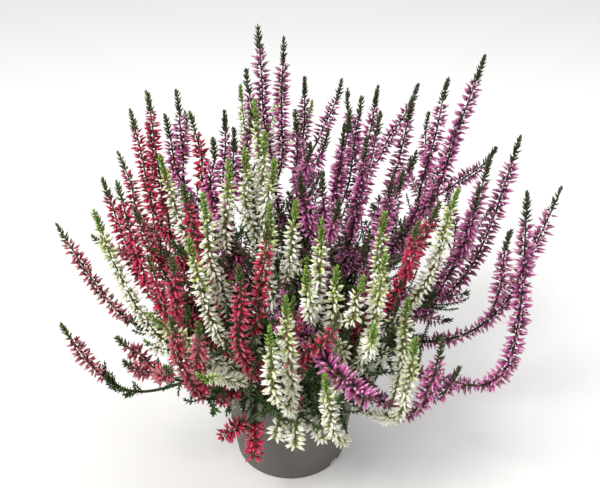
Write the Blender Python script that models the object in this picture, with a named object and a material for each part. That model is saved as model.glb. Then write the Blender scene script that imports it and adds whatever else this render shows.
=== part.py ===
"""Three bud heathers, one red, one white and one purple, growing together in a round plastic pot.

Metres, +Z up. The origin is the middle of the pot's underside, and -Y is the front.
Each plant is one leafy body of stems, and each spray of buds is a body on the end of its stem.
"""

import math
import random
from collections import namedtuple

import bmesh
import bpy
import numpy as np
from mathutils import Vector, noise

MM = 0.001
GAP = 0.3 * MM

# Pot, sized as an 11 cm nursery pot
RIM_RADIUS = 55 * MM
POT_HEIGHT = 86 * MM
BASE_RADIUS = 41 * MM
WALL = 1.3 * MM
RIM_LIP = 2.6 * MM
RIM_BAND = 7 * MM
FOOT_ROUND = 1.6 * MM
FOOT_RING_WIDTH = 5 * MM
FOOT_BOSS_RADIUS = 13 * MM
FLOOR_RAISE = 1.6 * MM
FLOOR_TOP = 3.2 * MM
POT_SIDES = 32
SLOT_BEARINGS = (-37, 143)
SLOT_WIDTH = 10 * MM
SLOT_HEIGHT = 4.5 * MM
DRAIN_COUNT = 5
DRAIN_RADIUS = 3 * MM
DRAIN_CIRCLE = 24 * MM
DRAIN_SIDES = 10

# Soil
SOIL_EDGE_HEIGHT = 73 * MM
SOIL_DOME = 4 * MM
SOIL_LUMPS = 1.6 * MM
SOIL_LUMP_SPACING = 11 * MM
SOIL_SIDES = 20
SOIL_RINGS = 4

# Woody base of each plant, standing in a plain hole in the soil
WOOD_RADIUS = 4.6 * MM
WOOD_TOP_RADIUS = 3.2 * MM
WOOD_FOOT = 58 * MM
WOOD_TOP = 96 * MM
WOOD_SIDES = 6
WOOD_BERTH = 1 * MM
BRANCHING_HEIGHTS = (86 * MM, 94 * MM)

# Stems, leaves and buds, as rings of four corners whose turns alternate between reach and core
SAMPLE_STEP = 4 * MM
CURVE_SAMPLES = 200
STEM_RADIUS = 1.5 * MM
BARE_LENGTH = 26 * MM
STEM_BERTH = 3.3 * MM
BARE_SPACING = 9 * MM
LEAF_REACH = 4 * MM
LEAF_SPACING = 20 * MM
LEAF_LEAN = 2.5 * MM
LEAF_CORE_SHARE = 0.85
FIRST_LEAF_SHARE = 0.7
LAST_LEAF_FROM_END = 5 * MM
BUD_CORE = 2.4 * MM
BUD_REACH = 6.2 * MM
BUD_SPACING = 8.4 * MM
BUD_LEAN = 2.2 * MM
BUD_FOOT = 3 * MM
BUD_SMALLEST_CORE = 0.6
OPENING_START = 0.55
OPENING_LENGTH = 20 * MM
CLOSING_START = 0.6
CLOSING_LENGTH = 30 * MM
SIDE_SPIKE_FOOT = 28 * MM
SIDE_SPIKE_FOOT_SHARE = 0.35
SIDE_SPIKE_START = 2.5 * MM
SIDE_SPIKE_CORE = 1.2 * MM
GREEN_TIP_LENGTH = 16 * MM
GREEN_TIP_SHARE = 0.25
GREEN_TIP_REACH = 2.6 * MM
LAST_RING_FROM_TIP = 4 * MM
RING_TURN = math.radians(21)

# A direction along which no stem starts, from which its side directions are worked out
SIDE_HINT = (0.31, 0.87, 0.19)
STEEPEST_START = 86
STEM_PULL = 1.1
BEND_PULL = 0.6
GOLDEN_SHARE = 0.618
STEM_TURN = 0.7
SPIKE_TURN = 0.9

# Leafy shoots without buds: how far they fan out to either side of the way out from the pot's
# middle and their lean, in degrees, and their length
SHOOT_FAN = 85
SHOOT_LEAN = (35, 78)
SHOOT_LENGTH = (62 * MM, 92 * MM)
SHOOT_TIP_LEAN = 0.5

Plant = namedtuple("Plant", "name crown shoots")
PLANTS = {
    "red": Plant("red_heather", (-19, -5), 5),
    "white": Plant("white_heather", (5, -19), 5),
    "purple": Plant("purple_heather", (13, 15), 5),
}

# Each spray: its plant, the tips of its spikes (mm to the right, to the back and up), the lean of
# its tips from upright in degrees, the length in mm of its first spike, and the degrees by which
# its stem swings sideways, if it does
Spray = namedtuple("Spray", "plant tips lean bloom swing", defaults=(0,))
SPRAYS = (
    Spray("red", ((-143, -25, 203),), 20, 100),
    Spray("red", ((-130, -80, 167),), 18, 85),
    Spray("red", ((-103, -50, 245), (-92, -62, 248)), 10, 105),
    Spray("red", ((-98, 12, 263), (-90, 27, 270)), 8, 105),
    Spray("red", ((-57, -15, 271),), 10, 80),
    Spray("red", ((-102, 4, 200), (-88, 40, 212)), 16, 60),
    Spray("red", ((-57, -60, 246),), 10, 80),
    Spray("red", ((-75, -82, 214), (-60, -95, 221)), 12, 75),
    Spray("red", ((-98, -85, 162), (-92, -98, 155), (-63, -125, 173)), 30, 60),
    Spray("red", ((-60, -112, 195), (-45, -120, 197)), 14, 75),
    Spray("red", ((-24, -106, 222), (-10, -90, 239)), 8, 85),
    Spray("red", ((6, -100, 198), (26, -118, 202)), 6, 70),
    Spray("red", ((85, -56, 233), (71, -75, 231)), 14, 80),
    Spray("red", ((-22, -84, 66), (-41, -86, 84)), 150, 36),
    Spray("red", ((-118, 45, 222), (-100, 64, 236), (-75, 76, 240)), 20, 80),
    Spray("red", ((-120, 80, 160), (-95, 108, 170), (-140, 30, 165)), 35, 60),
    Spray("white", ((-109, -55, 227),), 12, 110, 10),
    Spray("white", ((-73, -35, 252),), 10, 65),
    Spray("white", ((-50, -95, 232),), 10, 90),
    Spray("white", ((-44, -76, 248), (-31, -62, 261)), 6, 75),
    Spray("white", ((-19, -20, 280),), 4, 85),
    Spray("white", ((-24, -42, 260), (-13, -32, 265), (-7, -55, 258)), 4, 70),
    Spray("white", ((-9, -80, 244), (5, -82, 247)), 5, 80),
    Spray("white", ((18, -98, 244), (10, -112, 225)), 6, 90),
    Spray("white", ((0, -122, 214), (-8, -128, 200)), 4, 100),
    Spray("white", ((24, -104, 181),), 4, 42),
    Spray("white", ((26, -103, 220), (39, -110, 218)), 8, 60),
    Spray("white", ((50, -105, 228), (52, -76, 237), (44, -126, 200)), 8, 85),
    Spray("white", ((93, -62, 244),), 12, 100),
    Spray("white", ((70, -102, 174), (66, -88, 190)), 4, 90),
    Spray("white", ((20, -128, 170),), 5, 62, 30),
    Spray("white", ((4, -92, 82), (-8, -88, 88), (21, -88, 86)), 140, 28),
    Spray("white", ((-74, -100, 188), (-48, -116, 165)), 35, 110, 20),
    Spray("white", ((-35, 80, 258), (-5, 92, 262), (16, 100, 240)), 10, 80),
    Spray("white", ((-40, 128, 180), (-5, 138, 190), (-15, 120, 215)), 30, 60),
    Spray("purple", ((-76, 6, 263), (-71, 25, 272)), 8, 65),
    Spray("purple", ((-43, -28, 261), (-39, 2, 267), (-31, -26, 266), (-22, -8, 271)), 4, 70),
    Spray("purple", ((-19, 35, 311), (-26, 20, 287), (-3, 30, 304)), 3, 125),
    Spray("purple", ((4, 12, 264), (13, -20, 255), (24, -4, 257)), 3, 70),
    Spray("purple", ((20, -45, 247), (7, -58, 252), (28, -68, 241)), 4, 65),
    Spray("purple", ((34, -2, 260), (38, 12, 263), (46, 26, 268)), 4, 85),
    Spray("purple", ((46, -22, 259), (57, 13, 262)), 5, 80),
    Spray("purple", ((60, -42, 244), (69, -20, 237)), 7, 65),
    Spray("purple", ((79, 27, 267), (79, 0, 241)), 8, 85),
    Spray("purple", ((118, 15, 296), (100, 27, 279)), 13, 125),
    Spray("purple", ((115, -38, 253), (107, -54, 242)), 8, 100),
    Spray("purple", ((134, -25, 260),), 8, 130),
    Spray("purple", ((121, -90, 255),), -8, 150, 10),
    Spray("purple", ((160, -35, 233), (131, -45, 210)), 12, 120),
    Spray("purple", ((84, -105, 176), (97, -97, 150)), 6, 70),
    Spray("purple", ((44, -130, 154),), 105, 52, -38),
    Spray("purple", ((10, 55, 272), (35, 62, 268)), 6, 75),
    Spray("purple", ((62, 80, 258), (88, 66, 264), (42, 98, 250)), 12, 80),
    Spray("purple", ((118, 55, 246), (140, 40, 228), (100, 82, 238)), 18, 80),
    Spray("purple", ((150, 60, 175), (125, 95, 180), (95, 115, 190)), 32, 65),
)

# Keeping stems of different bodies apart
SPREAD_ROUNDS = 120
SPREAD_REFRESH = 8
SPREAD_MARGIN = 0.8 * MM
SPREAD_LOOKAHEAD = 8 * MM
SPREAD_BLOCK = 400
FORK_SHARED = 22 * MM
REJOIN_POINTS = 6


def new_material(name, colour, roughness, metallic=0.0):
    material = bpy.data.materials.new(name)
    material.use_nodes = True
    shader = material.node_tree.nodes["Principled BSDF"]
    shader.inputs["Base Color"].default_value = (*colour, 1.0)
    shader.inputs["Roughness"].default_value = roughness
    shader.inputs["Metallic"].default_value = metallic
    return material


def new_object(name, points, faces, material=None):
    mesh = bpy.data.meshes.new(name)
    mesh.from_pydata([tuple(point) for point in points], [], faces)
    mesh.update()
    obj = bpy.data.objects.new(name, mesh)
    bpy.context.scene.collection.objects.link(obj)
    if material:
        mesh.materials.append(material)
    return obj


def apply_modifiers(obj):
    bpy.context.view_layer.update()
    graph = bpy.context.evaluated_depsgraph_get()
    mesh = bpy.data.meshes.new_from_object(obj.evaluated_get(graph))
    obj.modifiers.clear()
    obj.data = mesh


def fuse(name, pieces, material):
    """One body from several that overlap."""
    if len(pieces) == 1:
        obj = pieces[0]
        obj.name = name
        obj.data.materials.clear()
        obj.data.materials.append(material)
        return obj
    rest = bpy.data.collections.new(name + "_pieces")
    for piece in pieces[1:]:
        rest.objects.link(piece)
        bpy.context.scene.collection.objects.unlink(piece)
    bpy.context.scene.collection.children.link(rest)
    obj = pieces[0]
    obj.name = name
    union = obj.modifiers.new("Union", "BOOLEAN")
    union.operation = "UNION"
    union.operand_type = "COLLECTION"
    union.collection = rest
    union.solver = "MANIFOLD"
    apply_modifiers(obj)
    for piece in list(rest.objects):
        bpy.data.objects.remove(piece)
    bpy.data.collections.remove(rest)
    keep_outer_body(obj)
    obj.data.materials.clear()
    obj.data.materials.append(material)
    return obj


def keep_outer_body(obj):
    """Fills any hollow that the union sealed and drops any loose scrap."""
    shape = bmesh.new()
    shape.from_mesh(obj.data)
    shape.verts.ensure_lookup_table()
    islands, seen = [], set()
    for vertex in shape.verts:
        if vertex in seen:
            continue
        island, waiting = [], [vertex]
        seen.add(vertex)
        while waiting:
            current = waiting.pop()
            island.append(current)
            for edge in current.link_edges:
                other = edge.other_vert(current)
                if other not in seen:
                    seen.add(other)
                    waiting.append(other)
        islands.append(island)
    islands.sort(key=len)
    for island in islands[:-1]:
        bmesh.ops.delete(shape, geom=island, context="VERTS")
    shape.to_mesh(obj.data)
    shape.free()


def cut(obj, cutter):
    cutter.hide_render = True
    cutter.display_type = "WIRE"
    difference = obj.modifiers.new("Cut", "BOOLEAN")
    difference.operation = "DIFFERENCE"
    difference.object = cutter


def upright_cylinder(name, radius, low, high, centre, sides):
    mesh = bpy.data.meshes.new(name)
    shape = bmesh.new()
    bmesh.ops.create_cone(
        shape, cap_ends=True, segments=sides, radius1=radius, radius2=radius, depth=high - low
    )
    shape.to_mesh(mesh)
    shape.free()
    obj = bpy.data.objects.new(name, mesh)
    obj.location = (*centre, (low + high) / 2)
    bpy.context.scene.collection.objects.link(obj)
    return obj


def outer_radius(height):
    """The pot wall's outside, below its rim band."""
    top = RIM_RADIUS - RIM_LIP
    return BASE_RADIUS + (top - BASE_RADIUS) * height / POT_HEIGHT


def inner_radius(height):
    return outer_radius(height) - WALL


def pot_profile():
    """From the middle of the floor inside, up, over the rim and back under the foot."""
    band_foot = POT_HEIGHT - RIM_BAND
    ring = BASE_RADIUS - FOOT_RING_WIDTH
    return [
        (0, FLOOR_TOP),
        (inner_radius(FLOOR_TOP) - FOOT_ROUND, FLOOR_TOP),
        (inner_radius(FLOOR_TOP + FOOT_ROUND), FLOOR_TOP + FOOT_ROUND),
        (inner_radius(POT_HEIGHT), POT_HEIGHT - WALL / 2),
        (inner_radius(POT_HEIGHT) + WALL / 2, POT_HEIGHT),
        (RIM_RADIUS - WALL / 2, POT_HEIGHT),
        (RIM_RADIUS, POT_HEIGHT - WALL / 2),
        (RIM_RADIUS - WALL / 2, band_foot),
        (outer_radius(band_foot), band_foot - WALL / 2),
        (outer_radius(FOOT_ROUND), FOOT_ROUND),
        (BASE_RADIUS - FOOT_ROUND, 0),
        (ring, 0),
        (ring - FLOOR_RAISE / 2, FLOOR_RAISE),
        (FOOT_BOSS_RADIUS + FLOOR_RAISE / 2, FLOOR_RAISE),
        (FOOT_BOSS_RADIUS, 0),
        (0, 0),
    ]


def make_pot():
    profile = [(radius, 0, height) for radius, height in pot_profile()]
    edges = [(i, i + 1) for i in range(len(profile) - 1)]
    mesh = bpy.data.meshes.new("pot")
    mesh.from_pydata(profile, edges, [])
    pot = bpy.data.objects.new("pot", mesh)
    bpy.context.scene.collection.objects.link(pot)
    mesh.materials.append(new_material("pot_plastic", (0.13, 0.12, 0.11), 0.55))
    turn = pot.modifiers.new("Turn", "SCREW")
    turn.steps = turn.render_steps = POT_SIDES
    turn.use_merge_vertices = True
    turn.merge_threshold = 0.00005
    turn.use_smooth_shade = True
    for bearing in SLOT_BEARINGS:
        cut(pot, slot_cutter(bearing))
    for i in range(DRAIN_COUNT):
        angle = 2 * math.pi * (i + 0.5) / DRAIN_COUNT
        centre = (DRAIN_CIRCLE * math.cos(angle), DRAIN_CIRCLE * math.sin(angle))
        cut(pot, upright_cylinder(f"drain_{i}", DRAIN_RADIUS, -WALL, FLOOR_TOP + WALL, centre, DRAIN_SIDES))
    return pot


def slot_cutter(bearing):
    """A box that opens the corner between the foot and the floor."""
    angle = math.radians(bearing)
    mesh = bpy.data.meshes.new("slot")
    shape = bmesh.new()
    bmesh.ops.create_cube(shape, size=1)
    shape.to_mesh(mesh)
    shape.free()
    box = bpy.data.objects.new(f"slot_{bearing}", mesh)
    box.scale = (2 * (FOOT_RING_WIDTH + WALL), SLOT_WIDTH, SLOT_HEIGHT * 2)
    box.location = (BASE_RADIUS * math.cos(angle), BASE_RADIUS * math.sin(angle), 0)
    box.rotation_euler = (0, 0, angle)
    bpy.context.scene.collection.objects.link(box)
    return box


def soil_height(x, y):
    """A low dome with lumps, level with its edge height at the pot's wall."""
    edge = inner_radius(SOIL_EDGE_HEIGHT)
    share = min(1.0, math.hypot(x, y) / edge)
    lump = noise.noise(Vector((x, y, 0)) / SOIL_LUMP_SPACING)
    return SOIL_EDGE_HEIGHT + SOIL_DOME * (1 - share**2) + SOIL_LUMPS * lump * (1 - share**4)


def make_soil():
    low = FLOOR_TOP + GAP
    corner = FOOT_ROUND + GAP
    rings = [
        (inner_radius(low) - corner - GAP, low),
        (inner_radius(low + corner) - GAP, low + corner),
        (inner_radius(SOIL_EDGE_HEIGHT) - GAP, None),
    ]
    edge = inner_radius(SOIL_EDGE_HEIGHT) - GAP
    rings += [(edge * (1 - i / SOIL_RINGS), None) for i in range(1, SOIL_RINGS)]
    points = [(0, 0, low)]
    for radius, height in rings:
        for k in range(SOIL_SIDES):
            angle = 2 * math.pi * k / SOIL_SIDES
            x, y = radius * math.cos(angle), radius * math.sin(angle)
            points.append((x, y, soil_height(x, y) if height is None else height))
    points.append((0, 0, soil_height(0, 0)))
    faces = []
    top = len(points) - 1
    last = 1 + (len(rings) - 1) * SOIL_SIDES
    for k in range(SOIL_SIDES):
        after = (k + 1) % SOIL_SIDES
        faces.append((0, 1 + after, 1 + k))
        faces.append((top, last + k, last + after))
        for j in range(len(rings) - 1):
            a, b = 1 + j * SOIL_SIDES, 1 + (j + 1) * SOIL_SIDES
            faces.append((a + k, a + after, b + after, b + k))
    soil = new_object("soil", points, faces, new_material("soil", (0.035, 0.022, 0.014), 0.95))
    for plant in PLANTS.values():
        centre = [value * MM for value in plant.crown]
        hole = upright_cylinder(
            plant.name + "_hole", WOOD_RADIUS + GAP, WOOD_FOOT - GAP, WOOD_TOP, centre, WOOD_SIDES * 2
        )
        cut(soil, hole)
    return soil


def direction(bearing, lean):
    return np.array(
        [
            math.sin(lean) * math.cos(bearing),
            math.sin(lean) * math.sin(bearing),
            math.cos(lean),
        ]
    )


def hermite(start, start_pull, end, end_pull):
    """Points of an even spacing near SAMPLE_STEP along a curve with these ends and pulls."""
    t = np.linspace(0, 1, CURVE_SAMPLES)[:, None]
    curve = (
        (2 * t**3 - 3 * t**2 + 1) * start
        + (t**3 - 2 * t**2 + t) * start_pull
        + (3 * t**2 - 2 * t**3) * end
        + (t**3 - t**2) * end_pull
    )
    return even_points(curve, SAMPLE_STEP)


def even_points(curve, step):
    length = path_lengths(curve)
    count = max(3, round(length[-1] / step) + 1)
    places = np.linspace(0, length[-1], count)
    return np.stack([np.interp(places, length, curve[:, axis]) for axis in range(3)], axis=1)


def path_lengths(points):
    steps = np.linalg.norm(np.diff(points, axis=0), axis=1)
    return np.concatenate([[0.0], np.cumsum(steps)])


def grown_path(start, tip, lean_at_tip, swing):
    """A stem that leaves its crown leaning out further than it ends, as a branch that turns up.
    The swing bends it sideways, by so many degrees at either end."""
    across, along = tip[0] - start[0], tip[1] - start[1]
    bearing = math.atan2(along, across)
    chord_lean = math.atan2(math.hypot(across, along), tip[2] - start[2])
    end_lean = math.radians(lean_at_tip)
    start_lean = min(2 * chord_lean - end_lean, math.radians(STEEPEST_START))
    pull = (STEM_PULL + BEND_PULL * abs(start_lean - end_lean)) * float(np.linalg.norm(tip - start))
    turn = math.radians(swing)
    return hermite(
        start,
        direction(bearing + turn, start_lean) * pull,
        tip,
        direction(bearing - turn, end_lean) * pull,
    )


class Stem:
    """A stem or spike: its kind, its points, the body and the spray that it belongs to, the length of
    its bare foot and how far it reaches at each point."""

    def __init__(self, kind, points, body, family, bare):
        self.kind = kind
        self.points = points
        self.body = body
        self.family = family
        self.bare = bare
        self.is_spike = kind in ("first_spike", "side_spike")
        self.start_heading = self.end_heading = None
        length = path_lengths(points)
        reach_at = {"wood": wood_reach, "leafy": leaf_reach, "shoot": leaf_reach}.get(kind, bud_reach)
        self.reach = np.array([reach_at(s, length[-1], bare) for s in length])


def wood_reach(s, total, bare):
    return WOOD_RADIUS + WOOD_BERTH


def leaf_reach(s, total, bare):
    """How far a green stem reaches at the distance s from its foot."""
    leafy = min(1.0, max(0.0, (s - bare) / LEAF_SPACING))
    return STEM_BERTH + (LEAF_REACH - STEM_BERTH) * leafy


def bud_reach(s, total, bare):
    """How far a spike reaches at the distance s from its foot."""
    if s < bare:
        return BUD_CORE
    opening = min(1.0, OPENING_START + (s - bare) / OPENING_LENGTH)
    left = total - s
    green = min(GREEN_TIP_LENGTH, GREEN_TIP_SHARE * total)
    if left < green:
        return GREEN_TIP_REACH
    closing = min(1.0, CLOSING_START + (left - green) / CLOSING_LENGTH)
    return BUD_REACH * min(opening, closing)


def grow_spray(spray, index):
    """The green stem and the spikes of one spray."""
    body = f"{spray.plant}_spray_{index:02d}"
    crown = PLANTS[spray.plant].crown
    low, high = BRANCHING_HEIGHTS
    tips = [np.array(tip) * MM for tip in spray.tips]
    start = np.array([crown[0] * MM, crown[1] * MM, low + (high - low) * (index * GOLDEN_SHARE % 1)])
    whole = grown_path(start, tips[0], spray.lean, spray.swing)
    length = path_lengths(whole)
    bloom = min(spray.bloom * MM, length[-1] - BARE_LENGTH)
    foot = int(np.searchsorted(length, length[-1] - bloom))
    green = whole[: foot + 1]
    spikes = [whole[foot:]]
    bare = [BUD_FOOT]
    heading = whole[foot + 1] - whole[foot]
    heading = heading / np.linalg.norm(heading)
    fork = whole[foot] + heading * SIDE_SPIKE_START
    for tip in tips[1:]:
        reach = float(np.linalg.norm(tip - fork))
        end = direction(math.atan2(tip[1], tip[0]), math.radians(spray.lean))
        spikes.append(hermite(fork, heading * reach, tip, end * reach))
        bare.append(min(SIDE_SPIKE_FOOT, reach * SIDE_SPIKE_FOOT_SHARE))
    kinds = ["first_spike"] + ["side_spike"] * (len(spikes) - 1)
    stems = [Stem("leafy", green, PLANTS[spray.plant].name, body, BARE_LENGTH)]
    stems += [Stem(kind, points, body, body, foot) for kind, points, foot in zip(kinds, spikes, bare)]
    return stems


def wood_core(plant):
    """The middle line of the woody base above the soil, which other plants' stems keep clear of."""
    heights = np.arange(SOIL_EDGE_HEIGHT, WOOD_TOP, SAMPLE_STEP)
    points = np.array([(plant.crown[0] * MM, plant.crown[1] * MM, height) for height in heights])
    return Stem("wood", points, plant.name, plant.name + "_wood", 0)


def grow_shoots(plant):
    """Short leafy stems without buds that fill the plant's lower part."""
    draw = random.Random(plant.name)
    outward = math.atan2(plant.crown[1], plant.crown[0])
    shoots = []
    for i in range(plant.shoots):
        bearing = outward + math.radians(draw.uniform(-SHOOT_FAN, SHOOT_FAN))
        lean = math.radians(draw.uniform(*SHOOT_LEAN))
        length = draw.uniform(*SHOOT_LENGTH)
        start = np.array([plant.crown[0] * MM, plant.crown[1] * MM, BRANCHING_HEIGHTS[1]])
        tip = start + direction(bearing, lean) * length
        points = grown_path(start, tip, math.degrees(lean) * SHOOT_TIP_LEAN, 0)
        shoots.append(Stem("shoot", points, plant.name, f"{plant.name}_shoot_{i}", BARE_LENGTH))
    return shoots


def spread_apart(stems):
    """Bends stems of different bodies clear of each other, of the rim and of the soil."""
    points = np.concatenate([stem.points for stem in stems])
    reach = np.concatenate([stem.reach for stem in stems])
    stem_of = np.concatenate([[i] * len(stem.points) for i, stem in enumerate(stems)])
    bodies = {name: i for i, name in enumerate(sorted({stem.body for stem in stems}))}
    families = {name: i for i, name in enumerate(sorted({stem.family for stem in stems}))}
    body_of = np.array([bodies[stems[i].body] for i in stem_of])
    family_of = np.array([families[stems[i].family] for i in stem_of])
    along = np.concatenate([path_lengths(stem.points) for stem in stems])
    first = np.concatenate([[0], np.cumsum([len(stem.points) for stem in stems])])
    spike = np.array([stem.is_spike for stem in stems])[stem_of]
    for turn in range(SPREAD_ROUNDS):
        if turn % SPREAD_REFRESH == 0:
            near = near_pairs(points, reach, stem_of, body_of, family_of, along, spike)
        a, b = near
        apart = points[a] - points[b]
        distance = np.linalg.norm(apart, axis=1) + 1e-9
        short = reach[a] + reach[b] + SPREAD_MARGIN - distance
        push = apart / distance[:, None] * (np.clip(short, 0, None) * 0.5)[:, None]
        total = np.zeros_like(points)
        weight = np.zeros(len(points))
        np.add.at(total, a, push)
        np.add.at(total, b, -push)
        touching = (short > 0).astype(float)
        np.add.at(weight, a, touching)
        np.add.at(weight, b, touching)
        moved = total / np.maximum(weight, 1)[:, None]
        moved += clear_of_pot(points, reach)
        for i, stem in enumerate(stems):
            part = slice(first[i], first[i + 1])
            moved[part] = 0 if stem.kind == "wood" else smoothed(moved[part])
        points = points + moved
        rejoin(points, stems, first)
    for i, stem in enumerate(stems):
        stem.points = points[first[i] : first[i + 1]]


def near_pairs(points, reach, stem_of, body_of, family_of, along, spike):
    """Index pairs of points that may touch, of different bodies or of two spikes past their fork."""
    found_a, found_b = [], []
    for start in range(0, len(points), SPREAD_BLOCK):
        block = slice(start, start + SPREAD_BLOCK)
        distance = np.linalg.norm(points[block, None, :] - points[None, :, :], axis=2)
        close = distance < reach[block, None] + reach[None, :] + SPREAD_LOOKAHEAD
        apart = body_of[block, None] != body_of[None, :]
        apart &= family_of[block, None] != family_of[None, :]
        sisters = (body_of[block, None] == body_of[None, :]) & spike[block, None]
        sisters &= stem_of[block, None] != stem_of[None, :]
        sisters &= (along[block, None] > FORK_SHARED) & (along[None, :] > FORK_SHARED)
        rows, columns = np.nonzero(close & (apart | sisters))
        rows = rows + start
        keep = rows < columns
        found_a.append(rows[keep])
        found_b.append(columns[keep])
    return np.concatenate(found_a), np.concatenate(found_b)


def clear_of_pot(points, reach):
    """A push away from the rim, the outer wall and the soil."""
    radial = np.linalg.norm(points[:, :2], axis=1) + 1e-9
    outward = np.stack([points[:, 0] / radial, points[:, 1] / radial, np.zeros(len(points))], axis=1)
    push = np.zeros_like(points)
    rim = RIM_RADIUS - RIM_LIP / 2
    from_rim = np.stack([radial - rim, points[:, 2] - POT_HEIGHT], axis=1)
    distance = np.linalg.norm(from_rim, axis=1) + 1e-9
    short = np.clip(reach + RIM_LIP + SPREAD_MARGIN - distance, 0, None)
    push += outward * (from_rim[:, 0] / distance * short)[:, None]
    push[:, 2] += from_rim[:, 1] / distance * short
    beside = (points[:, 2] < POT_HEIGHT) & (radial > rim)
    into_wall = np.clip(RIM_RADIUS + reach + SPREAD_MARGIN - radial, 0, None) * beside
    push += outward * into_wall[:, None]
    over = radial <= rim
    floor = SOIL_EDGE_HEIGHT + SOIL_DOME + SOIL_LUMPS
    push[:, 2] += np.clip(floor + reach + SPREAD_MARGIN - points[:, 2], 0, None) * over
    return push


def smoothed(moves):
    """Spreads each push along its stem, and holds the stem's start still."""
    padded = np.concatenate([moves[:1], moves[:1], moves, moves[-1:], moves[-1:]])
    even = (
        padded[:-4] + 2 * padded[1:-3] + 3 * padded[2:-2] + 2 * padded[3:-1] + padded[4:]
    ) / 9
    even *= np.clip(np.arange(len(moves)) / 2, 0, 1)[:, None]
    return even


def rejoin(points, stems, first):
    """Puts the foot of each spike back on the end of its green stem."""
    feet = {}
    for i, stem in enumerate(stems):
        if stem.kind == "leafy":
            feet[stem.family] = points[first[i + 1] - 1]
    for i, stem in enumerate(stems):
        if stem.is_spike:
            rise = points[first[i] + 1] - points[first[i]]
            rise *= SIDE_SPIKE_START / np.linalg.norm(rise) if stem.kind == "side_spike" else 0
            shift = feet[stem.family] + rise - points[first[i]]
            count = first[i + 1] - first[i]
            fade = np.clip(1 - np.arange(count) / REJOIN_POINTS, 0, 1)[:, None]
            points[first[i] : first[i + 1]] += shift * fade


def match_headings(stems):
    """Gives each green stem's end and the foot of the spike on it one heading, so that the flat faces
    there lie parallel."""
    leafy = {stem.family: stem for stem in stems if stem.kind == "leafy"}
    for stem in stems:
        if stem.kind == "first_spike":
            below = leafy[stem.family]
            heading = stem.points[1] - below.points[-2]
            stem.start_heading = below.end_heading = heading / np.linalg.norm(heading)


def frames_along(stem):
    """The heading at each point, and a pair of side directions carried along without twist."""
    ahead = np.gradient(stem.points, axis=0)
    ahead /= np.linalg.norm(ahead, axis=1)[:, None]
    if stem.start_heading is not None:
        ahead[0] = stem.start_heading
    if stem.end_heading is not None:
        ahead[-1] = stem.end_heading
    side = np.cross(ahead[0], SIDE_HINT)
    sides = []
    for heading in ahead:
        side = side - heading * np.dot(side, heading)
        side = side / np.linalg.norm(side)
        sides.append(side)
    sides = np.array(sides)
    return ahead, sides, np.cross(ahead, sides)


def at_distances(values, length, places):
    return np.stack([np.interp(places, length, values[:, axis]) for axis in range(3)], axis=1)


def relief_tube(name, stem, rings, turn):
    """A closed tube of four-cornered rings. Each ring is (distance, core, reach, lean): two opposite
    corners stand out to the reach, leaning forward, and the next ring's stand out between them. A
    stem that carries a spray ends flat at its last ring, and any other in a point."""
    points = stem.points
    length = path_lengths(points)
    ahead, side, other = frames_along(stem)
    places = np.array([ring[0] for ring in rings])
    centre = at_distances(points, length, places)
    ahead = at_distances(ahead, length, places)
    side = at_distances(side, length, places)
    other = at_distances(other, length, places)
    corners = []
    for j, (_, core, reach, lean) in enumerate(rings):
        for k in range(4):
            angle = k * math.pi / 2 + turn + j * RING_TURN
            out = math.cos(angle) * side[j] + math.sin(angle) * other[j]
            stands_out = (j + k) % 2 == 0
            radius = reach if stands_out else core
            corners.append(centre[j] + out * radius + ahead[j] * (lean if stands_out else 0))
    faces = [(3, 2, 1), (3, 1, 0)]
    for j in range(len(rings) - 1):
        for k in range(4):
            a, b = 4 * j + k, 4 * j + (k + 1) % 4
            c, d = b + 4, a + 4
            faces += [(a, b, d), (b, c, d)] if (j + k) % 2 == 0 else [(a, b, c), (a, c, d)]
    last = 4 * (len(rings) - 1)
    if stem.kind == "leafy":
        faces += [(last, last + 1, last + 2), (last, last + 2, last + 3)]
    else:
        corners.append(points[-1])
        tip = len(corners) - 1
        faces += [(last + k, last + (k + 1) % 4, tip) for k in range(4)]
    return new_object(name, corners, faces)


def spike_rings(stem):
    """A first spike's foot is as wide as its core. A side spike's thin bare foot starts inside it."""
    total = path_lengths(stem.points)[-1]
    first = stem.kind == "first_spike"
    foot = BUD_CORE if first else SIDE_SPIKE_CORE
    rings = [(0, foot, foot, 0)]
    if not first:
        rings.append((stem.bare, foot, foot, 0))
    end = total - LAST_RING_FROM_TIP
    count = max(2, round((end - stem.bare) / BUD_SPACING))
    for i in range(1, count + 1):
        s = stem.bare + (end - stem.bare) * i / count
        reach = bud_reach(s, total, stem.bare)
        share = reach / BUD_REACH
        core = BUD_CORE * (BUD_SMALLEST_CORE + (1 - BUD_SMALLEST_CORE) * share)
        rings.append((s, core, reach, BUD_LEAN * share))
    return rings


def leafy_rings(stem):
    """A stem that carries a spray ends flat, just short of its foot. A shoot ends in a point."""
    total = path_lengths(stem.points)[-1]
    bare_steps = round(BARE_LENGTH / BARE_SPACING)
    rings = [(BARE_LENGTH * i / bare_steps, STEM_RADIUS, STEM_RADIUS, 0) for i in range(bare_steps)]
    end = total - LAST_LEAF_FROM_END
    count = max(1, round((end - BARE_LENGTH) / LEAF_SPACING))
    for i in range(count + 1):
        s = BARE_LENGTH + (end - BARE_LENGTH) * i / count
        reach = LEAF_REACH if i else LEAF_REACH * FIRST_LEAF_SHARE
        rings.append((s, STEM_RADIUS * LEAF_CORE_SHARE, reach, LEAF_LEAN))
    if stem.kind == "leafy":
        rings.append((total - GAP, STEM_RADIUS, STEM_RADIUS, 0))
    return rings


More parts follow.
